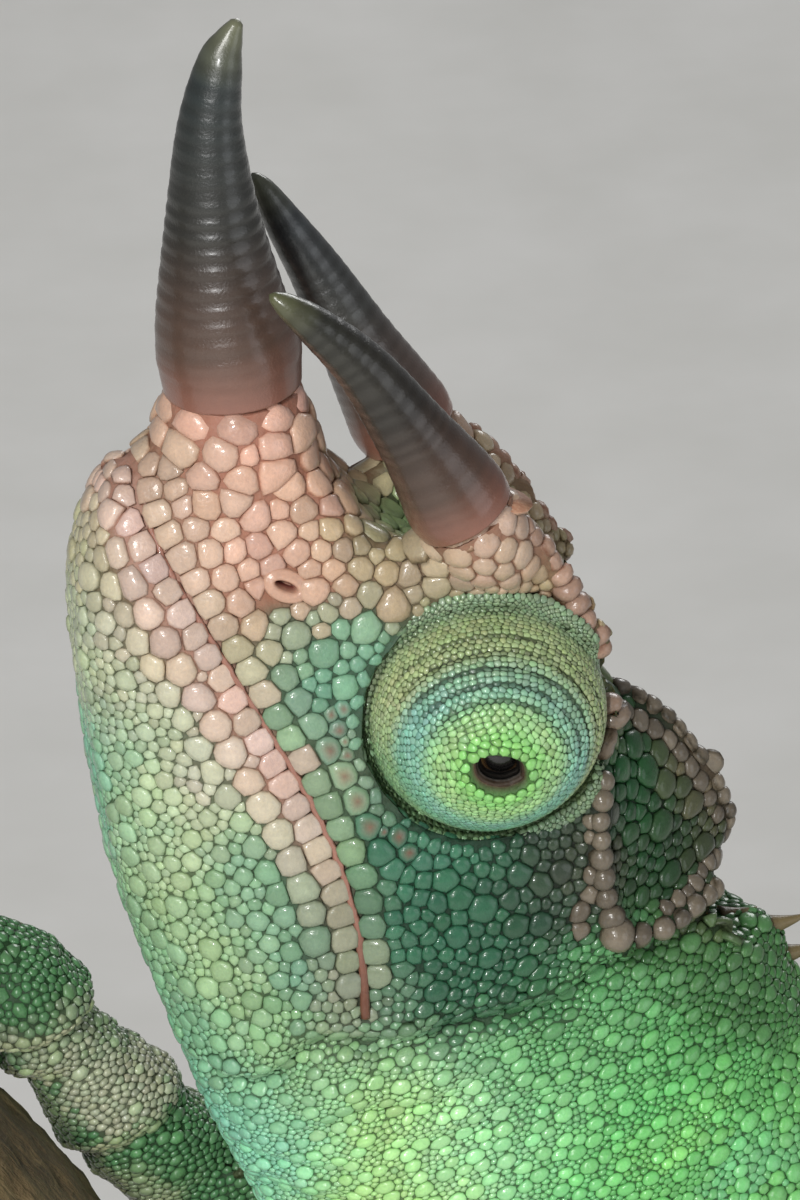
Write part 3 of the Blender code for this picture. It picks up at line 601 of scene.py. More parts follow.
def bodyColour(points, normals, group):
    # greens of the body: darker along the back, paler below, with lime and mint clouds
    marks = {name: tone(*shade) for name, shade in bodyMarksAndLight.items()}
    clouds = mottle(points, 16.0, 3)
    drift = mottle(points, 9.0, 4)
    up = normals[:, 2] * 0.6 + normals[:, 0] * 0.8
    colour = mix(marks["flank"], marks["lime"], softStep(0.2, 1.0, clouds)[:, None] * 0.8)
    colour = mix(colour, marks["mint"], softStep(0.25, 1.1, drift)[:, None] * 0.55)
    colour = mix(colour, marks["back"], softStep(0.35, 0.95, up)[:, None] * 0.6)
    colour = mix(colour, marks["belly"], softStep(-0.35, -0.9, up)[:, None] * 0.7)
    bands = softStep(0.2, 0.9, np.sin(trunkPlace(points) / 9.0 * tau))[:, None] * 0.5
    tail = mix(marks["tail"], marks["tailBand"], bands)
    colour = np.where((group == 3)[:, None], tail * 0.7 + colour * 0.3, colour)
    limb = mix(marks["limb"], marks["limbPale"], softStep(-0.3, 0.8, mottle(points, 7.0, 8))[:, None] * 0.75)
    # painted light: the limbs paler where they face down, partly their own pale underside and partly light
    # painted into the shade under them
    limb = mix(limb, marks["limbUnderLit"], softStep(0.0, -0.8, normals[:, 2])[:, None] * 0.7)
    colour = np.where((group >= 4)[:, None], limb, colour)
    return np.where((group == 6)[:, None], marks["foot"] * 0.6 + limb * 0.4, colour)


# the mouth: f, l, d from its corner to the tip of the snout

mouthLine = ((-9.4, 7.2, -10.8), (-6.9, 7.0, -9.8), (-3.6, 6.7, -8.8), (1.0, 6.1, -8.5), (7.0, 5.3, -8.7),
             (12.8, 4.0, -9.0), (15.2, 2.8, -9.1), (16.4, 1.9, -8.8), (17.5, 0.9, -8.1))


def mouthDistance(here):
    # signed height above the mouth's line in the side view
    line = spread(mouthLine, 120)
    f, _, d = here.T
    level = np.interp(f, line[:, 0], line[:, 2])
    slope = np.interp(f, line[:, 0], np.gradient(line[:, 2], line[:, 0]))
    return (d - level) / np.sqrt(1 + slope ** 2)


def lipBand(here):
    # how far a place belongs to the lips: exp(-(height / 1.7)^4) along the mouth
    f = here[:, 0]
    return np.exp(-((mouthDistance(here) + 0.35) / 1.7) ** 4) * softStep(-11.0, -8.6, f) * (f < 18.5)


def lipColour(here):
    # pink and cream in front, greyer and greener towards the corner
    back = softStep(3.0, -8.0, here[:, 0])[:, None]
    above = softStep(0.0, 0.8, mouthDistance(here))[:, None]
    early = softStep(12.0, 4.0, here[:, 0])[:, None]
    upper = mix(mix(tone(178, 154, 134), tone(126, 154, 118), early), tone(78, 108, 84), back)
    lower = mix(tone(192, 167, 154), tone(128, 136, 114), back)
    return mix(lower, upper, above)


# the trunk's middle line, from the back of the head to the end of the coiled tail

trunk = {"heading": ((0, 65), (8, 62), (28, 52.5), (45, 50.5), (65, 53.5), (84, 60), (100, 66), (118, 84)),
         "coilStart": 118.0, "coilLength": 97.0, "coilRadii": (15.5, 4.5), "middle": -6.5}


def trunkLine():
    fine = np.linspace(0, trunk["coilStart"] + trunk["coilLength"], 1200)
    steep = np.radians(curveThrough(trunk["heading"], np.minimum(fine, trunk["coilStart"]))[:, 0])
    turned = np.clip(fine - trunk["coilStart"], 0, None)
    wide, narrow = trunk["coilRadii"]
    radius = np.sqrt(wide ** 2 + (narrow ** 2 - wide ** 2) / trunk["coilLength"] * turned)
    step = fine[1] - fine[0]
    steep = steep + np.cumsum(np.where(turned > 0, step / radius, 0))
    start = headPoint(headFrame["back"], 0, trunk["middle"])
    x = start[0] + np.concatenate([[0], np.cumsum(np.cos(steep[:-1]) * step)])
    z = start[2] - np.concatenate([[0], np.cumsum(np.sin(steep[:-1]) * step)])
    return fine, np.stack([x, 0 * x, z], axis=1), steep


spine = trunkLine()


def outOfBack(steep):
    # straight out of the back where the trunk runs down at this slope
    return np.stack([np.sin(steep), 0 * steep, np.cos(steep)], axis=1)


def nearestOn(points, line):
    # index of the nearest place on a line, in blocks so that the table stays small
    found = np.empty(len(points), int)
    for first in range(0, len(points), 4000):
        block = points[first:first + 4000]
        gap = ((block[:, None, ::2] - line[None, :, ::2]) ** 2).sum(axis=-1)
        found[first:first + 4000] = gap.argmin(axis=1)
    return found


def trunkPlace(points):
    coarse = slice(None, None, 4)
    return spine[0][coarse][nearestOn(points, spine[1][coarse])]


# rows of scales that are set one by one: the casque's have places as f, l, d, count and radius; the lips',
# height above the mouth's line, radius, step and how far back they run; the cuffs round the horns, each ring's
# middle, reach, count and radius; keel is how high and how wide the crest under a row is

casqueRows = {
    "brow": (((7.4, 4.3, 4.6), (5.2, 4.3, 5.5), (2.2, 4.4, 5.6), (-0.4, 4.4, 5.8), (-2.7, 4.5, 5.4),
              (-4.3, 5.0, 4.5)), 16, 0.52),
    "side": (((-5.2, 5.6, 3.3), (-5.8, 5.9, 2.6), (-6.6, 6.0, 2.2), (-8.6, 6.2, 1.4), (-10.2, 6.4, 0.8),
              (-11.9, 6.7, 0.5)), 9, 0.68),
    "sideLower": (((-6.2, 6.5, 1.2), (-8.8, 6.9, 0.2), (-11.0, 7.1, -0.6)), 7, 0.4),
    "rim": (((-12.9, 6.0, 1.4), (-13.9, 5.0, 3.1), (-14.6, 3.6, 4.9), (-15.0, 1.6, 6.4)), 7, 0.66),
    "rimInner": (((-12.6, 4.9, 3.2), (-13.2, 3.4, 4.9), (-13.6, 1.7, 6.2)), 7, 0.44),
    "ridgeSide": (((-5.0, 1.3, 5.6), (-8.6, 1.1, 6.9), (-12.4, 1.2, 7.1)), 9, 0.46),
}
ridgeRow = (((-4.6, 0, 5.6), (-8.6, 0, 7.4), (-12.0, 0, 7.6), (-14.6, 0, 7.2)), 13, 0.54)
lipRows = {"upper": (0.62, 0.62, 1.2, -8.6), "lower": (-0.62, 0.62, 1.16, -8.8),
           "pearls": (-1.9, 0.76, 1.5, -6.0), "secondPearls": (-3.1, 0.56, 1.4, -4.0),
           "aboveLip": (1.85, 0.6, 1.3, -3.0)}
sleeves = {
    "rostral": (((17.45, 0, -3.2), (16.3, 0, -3.7), (15.15, 0, -4.2), (14.1, 0, -4.65)),
                (3.6, 3.9, 4.15, 4.3), (9, 10, 12, 14), (1.02, 0.96, 0.84, 0.72)),
    "left": (((9.0, 4.36, 3.35), (8.0, 4.2, 3.45), (7.0, 3.9, 3.6)), (2.6, 2.7, 2.8), (9, 10, 12),
             (0.76, 0.7, 0.6)),
    "right": (((9.0, -4.36, 2.5), (8.0, -4.2, 2.6), (7.0, -3.9, 2.8)), (2.6, 2.7, 2.8), (9, 10, 12),
              (0.76, 0.7, 0.6)),
}
keel = {"brow": (0.5, 0.55), "side": (0.42, 0.62), "rim": (0.34, 0.6), "ridge": (0.34, 0.6)}


def keelRise(here):
    # how far the skin stands up under the crests: rise * exp(-(distance / half)^4), the highest of them
    f, l, d = here.T
    folded = np.column_stack([f, np.abs(l), d])
    high = np.zeros(len(here))
    close = np.where((d > -2.0) & (f > -17.0) & (f < 9.0))[0]
    for name, (rise, half) in keel.items():
        line = spread((casqueRows[name] if name in casqueRows else ridgeRow)[0], 60)
        away = np.sqrt(((folded[close, None] - line[None]) ** 2).sum(axis=-1).min(axis=1))
        high[close] = np.maximum(high[close], rise * np.exp(-(away / half) ** 4))
    return high


# where each foot grips the branch: place along it, toes in the inner bundle, degrees round it
feet = {"foreRight": (-18.5, 2, -28.0), "foreLeft": (12.5, 2, 36.0), "hindRight": (72.0, 3, -46.0),
        "hindLeft": (60.0, 3, 46.0)}
toes = {"radius": 1.6, "step": 2.5, "inner": 92.0, "outer": 88.0, "claw": 2.4, "clawRadius": 0.78}


def clawPlaces():
    # root, tip and bend of every claw, at the ends of the toes round the branch
    base, tip, lean = [], [], []
    for u, inner, turn in feet.values():
        outward = math.copysign(1, turn)
        for kind, way, count in (("outer", outward, 5 - inner), ("inner", -outward, inner)):
            for k in range(count):
                place = u + (k - (count - 1) / 2) * toes["step"] * (1 if count == 2 else 0.86)
                angle = np.radians(np.linspace(turn, turn + way * toes[kind], 6))[-2:]
                radius = toes["radius"] * (0.98 if count == 2 else 0.9)
                reach = perchFrame["radius"] + 0.3 + radius
                ends = perchPoint(place + 0 * angle, reach * np.sin(angle), reach * np.cos(angle))
                ahead = unit(ends[1] - ends[0])
                inwards = unit(perchPoint(place, 0.0, 0.0) - ends[1])
                base.append(ends[1] - ahead * 0.5 - inwards * 0.25)
                tip.append(ends[1] + ahead * toes["claw"] + inwards * 0.85)
                lean.append(-inwards * 0.9)
    return np.array(base), np.array(tip), np.array(lean)


def bentLines(base, tip, lean, t):
    # middle lines that bend by lean on their way: base + (tip - base) t + lean (t^2 - t)
    straight = base[:, None] + (tip - base)[:, None] * t[None, :, None]
    return straight + lean[:, None] * (t ** 2 - t)[None, :, None]


def clawNear(points):
    # the distance to the nearest claw past its root, the place on its middle line, that line's start and the
    # share of the way to its tip
    t = np.linspace(0.3, 1, 8)
    line = bentLines(*clawPlaces(), t)
    tree = treeOf(line.reshape(-1, 3))
    found = [tree.find(p) for p in points]
    number = np.array([hit[1] for hit in found])
    gap, middle = np.array([hit[2] for hit in found]), np.array([hit[0] for hit in found])
    return gap, middle, line[:, 0][number // len(t)], (number % len(t)) / (len(t) - 1)


# the skin: the solids of flesh swollen until they meet, remeshed as one, smoothed and drawn in by the coat

skinMaking = {"swell": 0.24, "voxel": 0.48, "rounds": 16, "coat": 0.34}
groupOf = {"head": 0, "jaw": 0, "neck": 1, "torso": 2, "tail": 3, "leg_fore": 4, "leg_hind": 5, "foot": 6}
fleshNodes = [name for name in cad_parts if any(name.startswith(key) for key in groupOf)]


def fleshMesh():
    vertices, faces, samples, labels = [], [], [], []
    draw = np.random.default_rng(2)
    count = 0
    for name in sorted(fleshNodes):
        work = bmesh.new()
        work.from_mesh(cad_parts[name].data)
        bmesh.ops.remove_doubles(work, verts=work.verts[:], dist=1e-6)
        work.normal_update()
        work.verts.index_update()
        points = np.array([v.co for v in work.verts]) / mm
        normals = np.array([v.normal for v in work.verts])
        triangles = np.array([[v.index for v in face.verts] for face in work.faces])
        work.free()
        corner = points[triangles]
        area = np.linalg.norm(np.cross(corner[:, 1] - corner[:, 0], corner[:, 2] - corner[:, 0]), axis=1) / 2
        chosen = draw.choice(len(area), int(area.sum() * 1.6) + 20, p=area / area.sum())
        share = draw.dirichlet((1, 1, 1), len(chosen))
        samples.append((corner[chosen] * share[..., None]).sum(axis=1))
        key = max((k for k in groupOf if name.startswith(k)), key=len)
        labels.append(np.full(len(chosen), groupOf[key]))
        vertices.append(points + normals * skinMaking["swell"])
        faces.append(triangles + count)
        count += len(points)
    return np.vstack(vertices), np.vstack(faces), np.vstack(samples), np.concatenate(labels)


def smoothed(points, edges, rounds, shares=(0.55, -0.57)):
    # each point goes part of the way to the middle of its neighbours, out and back so that it keeps its size
    count = np.bincount(edges.ravel(), minlength=len(points))[:, None]
    for _ in range(rounds):
        for share in shares:
            total = np.stack([np.bincount(edges[:, 0], points[edges[:, 1], k], len(points)) +
                              np.bincount(edges[:, 1], points[edges[:, 0], k], len(points))
                              for k in range(3)], axis=1)
            points = points + share * (total / np.maximum(count, 1) - points)
    return points


def quadNormals(points, quads):
    # at each corner the mean of its quads' normals, which are the cross products of their diagonals
    diagonal = np.cross(points[quads[:, 2]] - points[quads[:, 0]], points[quads[:, 3]] - points[quads[:, 1]])
    return unit(np.stack([sum(np.bincount(quads[:, c], diagonal[:, k], len(points)) for c in range(4))
                          for k in range(3)], axis=1))


# the crease behind the jaw and casque as f at each d, then the folds: how far behind it, depth, half width

neckCrease = ((-18.4, -9.6), (-16.1, -9.9), (-13.3, -9.9), (-10.1, -11.2), (-6.8, -12.5), (-3.1, -13.4),
              (1.0, -14.0), (4.7, -15.4), (7.1, -16.8))
neckFolds = ((0.0, 0.8, 0.62), (-1.9, 0.26, 0.5), (-3.6, 0.42, 0.62), (-5.6, 0.26, 0.55), (-7.6, 0.44, 0.75),
             (-10.6, 0.36, 0.9), (-14.0, 0.26, 1.0))
nostril = {"place": (9.9, 4.2, -5.0), "long": 0.6, "high": 0.26, "lean": -38.0,
           "profile": ((1.9, -0.5, 0), (1.75, 0.08, 0), (1.5, 0.2, 0), (1.2, 0.3, 0), (0.95, 0.2, 0),
                       (0.8, -0.2, 0), (0.5, -0.9, 0), (0.05, -1.0, 0))}


def sculpt(points, normals):
    # the groove of the mouth, folds across the neck, the pits of the nostrils
    here = headCoordinates(points)
    f, l, d = here.T
    side = np.abs(l)
    high = mouthDistance(here)
    along = softStep(-10.4, -8.8, f) * (side > 0.5)
    sink = 0.3 * bump(high, 0, 0.28) * along
    line = np.array(neckCrease)
    across = f - np.interp(d, line[:, 0], line[:, 1]) + 0.35 * mottle(points, 9.0, 12)
    rise = 0
    for number, (place, deep, half) in enumerate(neckFolds):
        faint = softStep(-0.9, 0.3, mottle(points, 12.0, 60 + number)) if number else 1.0
        dip = bump(across, place, half) - 0.45 * np.exp(-((across - place - 1.3 * half) / half) ** 2)
        rise = rise - deep * dip * faint
    where = softStep(1.5, 4.0, side) * softStep(7.0, 4.5, d)
    ahead, _, above = nostril["place"]
    away = np.sqrt(((f - ahead) / 0.75) ** 2 + ((d - above) / 0.42) ** 2)
    pit = 0.9 * np.exp(-away ** 2 * 0.8) * (side > 2.0) * (np.abs(f - ahead) < 2)
    return points + normals * (rise * where - sink - pit + keelRise(here))[:, None]


def withoutSpines(points):
    # near the midline no point stands above the running height of the back's ridge
    close = np.where(np.abs(points[:, 1]) < 2.2)[0]
    index = nearestOn(points[close], spine[1])
    steep, along = spine[2][index], spine[0][index]
    back = outOfBack(steep)
    high = ((points[close] - spine[1][index]) * back).sum(axis=1)
    middle = (np.abs(points[close, 1]) < 0.5) & (high > 0)
    posts = np.arange(0.0, 132.0, 0.6)
    levels = []
    for post in posts:
        there = high[middle & (np.abs(along - post) < 2.1)]
        levels.append(np.percentile(there, 25) if len(there) > 4 else 100.0)
    levels = np.convolve(np.pad(levels, 2, "edge"), np.ones(5) / 5, "valid")
    extra = np.clip(high - np.interp(along, posts, levels), 0, 4) * (along > 0.5) * (along < 131)
    moved = points.copy()
    moved[close] -= back * extra[:, None]
    return moved


def makeSkin():
    vertices, faces, samples, labels = fleshMesh()
    block = meshObject("block", vertices, faces, smooth=False)
    weld = block.modifiers.new("weld", "REMESH")
    weld.mode = "VOXEL"
    weld.voxel_size = skinMaking["voxel"] * mm
    bpy.context.view_layer.update()
    mesh = bpy.data.meshes.new_from_object(block.evaluated_get(bpy.context.evaluated_depsgraph_get()))
    bpy.data.objects.remove(block)
    points, corners = readMesh(mesh)
    quads = corners.reshape(-1, 4)
    edges = np.empty(len(mesh.edges) * 2, np.int32)
    mesh.edges.foreach_get("vertices", edges)
    edges = edges.reshape(-1, 2)
    points = smoothed(withoutSpines(points), edges, skinMaking["rounds"])
    f, _, d = headCoordinates(points).T
    crest = softStep(-17.5, -15.5, f) * softStep(-2.5, -4.5, f) * softStep(3.2, 4.6, d)
    crest = np.maximum(crest, (np.abs(points[:, 1]) < 2.6) * (f < -15) * 1.0)[:, None]
    points = mix(points, smoothed(points, edges, 14, (0.5,)), crest)
    gap, middle, start, far = clawNear(points)
    inside = softStep(1.15 + 0.5 * far, 0.75 + 0.3 * far, gap)[:, None]
    points = points + inside * ((start - middle) * 0.7 - 0.55 * (points - middle))
    normals = quadNormals(points, quads)
    solid = BVHTree.FromPolygons([tuple(p) for p in points], quads.tolist())
    hits = [solid.ray_cast(Vector(p - n * 0.05), Vector(-n), 4.0)[3] for p, n in zip(points, normals)]
    thick = np.array([4.0 if hit is None else hit for hit in hits])
    sink = np.minimum(skinMaking["swell"] + skinMaking["coat"], 0.3 * thick)[:, None]
    sink = smoothed(np.repeat(sink, 3, axis=1), edges, 4, (0.5,))
    points = smoothed(points - normals * sink, edges, 2)
    points = sculpt(points, quadNormals(points, quads))
    tree = treeOf(samples)
    group = labels[np.array([tree.find(p)[1] for p in points])]
    return {"points": points, "quads": quads, "normals": quadNormals(points, quads), "group": group,
            "thick": thick, "claw": np.minimum(gap, clawNear(points)[0])}


skin = makeSkin()
print("skin", len(skin["quads"]), "quads")
skin["colour"], skin["radius"], skin["large"] = markingsAndPaintedLight(skin["points"], skin["normals"], skin["group"])
skin["radius"] = np.minimum(skin["radius"], 0.14 + 0.1 * skin["thick"])
skin["colour"] = np.where((skin["claw"] < 0.9)[:, None], tone(100, 94, 72), skin["colour"])
skinTree = BVHTree.FromPolygons([tuple(p) for p in skin["points"]], skin["quads"].tolist())
pointTree = treeOf(skin["points"])


def ontoSkin(places):
    # the nearest places on the skin, and its directions there
    hits = [skinTree.find_nearest(Vector(p)) for p in places]
    landed = np.array([hit[0] for hit in hits])
    nearest = np.array([pointTree.find(Vector(p))[1] for p in landed])
    flat = np.array([hit[1] for hit in hits])
    even = skin["normals"][nearest]
    agree = (flat * even).sum(axis=1) > 0.5
    return landed, np.where(agree[:, None], even, flat), nearest


socket = {"reach": 6.2, "least": 5.8, "lowest": 2.6, "brow": 0.35, "places": 96}


def evened(values):
    # a ring of values, each the mean of itself and two to either side
    return np.array([np.roll(values, k) for k in range(-2, 3)]).mean(axis=0)


def skinAround(side, phi, reach):
    # how far out the head's skin lies at that reach from the eye's axis, evened along the ring
    start = headPoint(reach * np.cos(phi), side * 16.0, reach * np.sin(phi))
    hits = [skinTree.ray_cast(Vector(p), Vector((0, side, 0))) for p in start]
    return evened(np.array([abs(hit[0][1]) if hit[0] else 2.5 for hit in hits]))


def makeSockets():
    # round each eye turret, how far out the head's skin lies and how far the turret's collar runs, by direction
    phi = compass(socket["places"])
    found = {}
    for side in (1, -1):
        out = skinAround(side, phi, socket["reach"] + 0 * phi)
        reach = socket["least"] + (socket["reach"] - socket["least"]) * softStep(3.9, 5.2, out)
        reach = reach - socket["brow"] * bump(np.degrees(phi), 128, 24)
        out = skinAround(side, phi, reach)
        for _ in range(6):
            reach = np.where(out < socket["lowest"] + 0.6, reach - 0.15, reach)
            out = skinAround(side, phi, reach)
        reach = evened(reach)
        out = np.maximum(skinAround(side, phi, reach), socket["lowest"])
        found[side] = (np.append(out, out[0]), np.append(reach, reach[0]))
    return found


sockets = makeSockets()


def socketAt(side, phi):
    ring = np.linspace(0, tau, socket["places"] + 1)
    return [np.interp(np.mod(phi, tau), ring, values) for values in sockets[side]]


def setRows():
    # every scale that is placed one by one: places, radii, heights
    draw = np.random.default_rng(9)
    places, radii, tall = [], [], []

    def add(points, radius, height):
        points = np.atleast_2d(points)
        places.append(points)
        radii.append(np.broadcast_to(radius, len(points)) * draw.uniform(0.92, 1.08, len(points)))
        tall.append(np.broadcast_to(height, len(points)) * draw.uniform(0.9, 1.1, len(points)))

    for points, count, radius in casqueRows.values():
        row = spread(points, count)
        for side in (1, -1):
            size = radius * np.linspace(0.88, 1.16, count) * draw.uniform(0.86, 1.12, count)
            size[-1] *= 1.3 if points is casqueRows["side"][0] else 1.0
            add(fromHead(row * (1, side, 1)), size, 0.62)
    row = spread(ridgeRow[0], ridgeRow[1])
    add(fromHead(row), ridgeRow[2], 0.62)
    mouth = spread(mouthLine, 400)
    run = runAlong(mouth)
    lean = unit(np.gradient(mouth[:, [0, 2]], axis=0))
    for offset, radius, step, last in lipRows.values():
        at = np.arange(run[-1] - 0.5 * step, 0, -step)
        row, turn = readAt(at, run, mouth), readAt(at, run, lean)
        row[:, 0] -= turn[:, 1] * offset
        row[:, 2] += turn[:, 0] * offset
        row = row[row[:, 0] > last]
        for side in (1, -1):
            add(fromHead(row * (1, side, 1)), radius, 0.34 if abs(offset) < 1 else 0.44)
    for axis, reach, counts, sizes in sleeves.values():
        axis = np.array(axis)
        ahead = unit(axis[0] - axis[-1])
        across = unit(np.cross(ahead, (0, 1, 0)))
        other = np.cross(ahead, across)
        for ring, (middle, wide, count, size) in enumerate(zip(axis, reach, counts, sizes)):
            loose = 0.03 + 0.05 * ring
            angle = (np.arange(count) + draw.random() + draw.normal(0, loose, count)) / count * tau
            ringPoints = middle + wide * around(angle, across, other)
            ringPoints = ringPoints + draw.normal(0, loose, (count, 1)) * size * ahead
            add(fromHead(ringPoints), size * draw.uniform(0.86, 1.1, count), 0.26 if ring == 0 else 0.36)
    # no scale grows here, and none beside it grows over it: the nostrils and the edge of the eye's collar
    for side in (1, -1):
        add(fromHead(np.multiply(nostril["place"], (1, side, 1))), 0.6, 0.0)
        angle = np.arange(40) / 40 * tau
        out, reach = socketAt(side, angle)
        add(headPoint((reach - 1.1) * np.cos(angle), side * out, (reach - 1.1) * np.sin(angle)), 0.3, 0.0)
    return np.vstack(places), np.concatenate(radii), np.concatenate(tall)


# scales: roots spread over the skin, largest first, pushed apart until they pack, then each grown as a dome

coatMaking = {"crowd": 0.84, "tries": 11, "bigger": 1.8, "rare": 0.11, "dome": 0.44, "most": 190000,
              "drawn": 0.5, "fine": 0.2, "plate": 0.4, "bead": 0.54, "area": 3.3, "farOff": 500.0}
forwardAxis = headPoint(1.0, 0.0, 0.0) - headPoint(0.0, 0.0, 0.0)


def chooseRoots():
    # many tries drawn over the skin, thickest where the scales are small; the largest stay, and each takes away
    # the smaller ones that crowd it
    draw = np.random.default_rng(21)
    rows, sizes, tall = setRows()
    rows, _, _ = ontoSkin(rows)
    quads = skin["quads"]
    c = skin["points"][quads]
    area = np.linalg.norm(np.cross(c[:, 2] - c[:, 0], c[:, 3] - c[:, 1]), axis=1) / 2
    mean = skin["radius"][quads].mean(axis=1)
    need = area / (coatMaking["area"] * mean ** 2)
    count = int(need.sum() * coatMaking["tries"])
    chosen = draw.choice(len(area), count, p=need / need.sum())
    a, b = draw.random((2, count, 1))
    c = c[chosen]
    found = c[:, 0] * (1 - a) * (1 - b) + c[:, 1] * a * (1 - b) + c[:, 2] * a * b + c[:, 3] * (1 - a) * b
    nearest = quads[chosen, draw.integers(0, 4, count)]
    size = skin["radius"][nearest] * draw.uniform(0.8, 1.1, count)
    big = draw.random(count) < skin["large"][nearest] * coatMaking["rare"]
    wider = coatMaking["bigger"] * np.where(skin["radius"][nearest] < coatMaking["fine"], 1.35, 1.0)
    size = np.where(big, size * wider * draw.uniform(0.85, 1.15, count), size)
    # nothing grows under the turret's collar, in a nostril, on a thin edge or claw, or along the mouth
    here = headCoordinates(found)
    f, l, d = here.T
    phi = np.arctan2(d, f)
    reach = np.where(l > 0, socketAt(1, phi)[1], socketAt(-1, phi)[1])
    bare = (np.hypot(f, d) < reach - 0.7) & (np.abs(l) > 1.0)
    ahead, _, above = nostril["place"]
    bare |= (np.hypot((f - ahead) / 1.05, (d - above) / 0.8) < 1) & (np.abs(l) > 2.0)
    bare |= (skin["thick"][nearest] < 0.85) | (skin["claw"][nearest] < 0.85)
    bare |= (np.abs(mouthDistance(here)) < 0.45) & (f > -9.2) & (f < 18)
    found, size, nearest, big = found[~bare], size[~bare], nearest[~bare], big[~bare]
    order = np.argsort(-size)
    found, size, nearest, big = found[order], size[order], nearest[order], big[order]
    places = np.vstack([rows, found])
    radii = np.concatenate([sizes, size])
    drawn = stretched(places)
    tree = treeOf(drawn)
    alive = np.ones(len(places), bool)
    widest = float(sizes.max())
    for k in range(len(places)):
        if not alive[k]:
            continue
        own = radii[k]
        most = widest if k < len(rows) else own
        for _, other, gap in tree.find_range(drawn[k], coatMaking["crowd"] * (own + most)):
            close = 0.5 if other < len(rows) else coatMaking["crowd"]
            if other > k and alive[other] and gap < close * (own + radii[other]):
                alive[other] = False
    kept = np.where(alive)[0]
    fixed = kept < len(rows)
    heights = np.concatenate([tall, np.full(len(size), coatMaking["dome"])])
    large = np.concatenate([np.zeros(len(rows), bool), big])
    return places[kept], radii[kept], heights[kept], fixed, large[kept]


def stretchTable():
    # the neck's scales are packed on a skin stretched along the head's forward axis, to come out long
    f = np.linspace(-220, 60, 2801)
    slope = 1 + coatMaking["drawn"] * softStep(-31.0, -20.0, f) * softStep(-8.0, -11.5, f)
    return f, np.cumsum(slope) * (f[1] - f[0]), slope


def stretched(points, back=False):
    # moved along the head's forward axis to where the stretch carries them, or back again
    f, whole, _ = stretchTable()
    before, after = (whole, f) if back else (f, whole)
    at = headCoordinates(points)[..., 0]
    return points + (np.interp(at, before, after) - at)[..., None] * forwardAxis


def neighbours(places, count):
    tree = treeOf(places)
    return np.array([[found[1] for found in tree.find_n(place, count + 1)][1:] for place in places])


def settleRoots(places, radii, fixed):
    # roots that stand closer than their radii allow push each other apart, and stay on the skin
    for _ in range(3):
        places = stretched(places)
        near = neighbours(places, 8)
        for _ in range(4):
            away = places[:, None] - places[near]
            gap = np.linalg.norm(away, axis=2)
            wanted = radii[:, None] + radii[near]
            push = np.clip(wanted - gap, 0, None) / np.maximum(gap, 1e-6)
            share = radii[near] / wanted
            move = (away * (push * share)[..., None]).sum(axis=1) * 0.45
            move[fixed] = 0
            places = places + move
        places, normals, nearest = ontoSkin(stretched(places, True))
    return places, normals, nearest


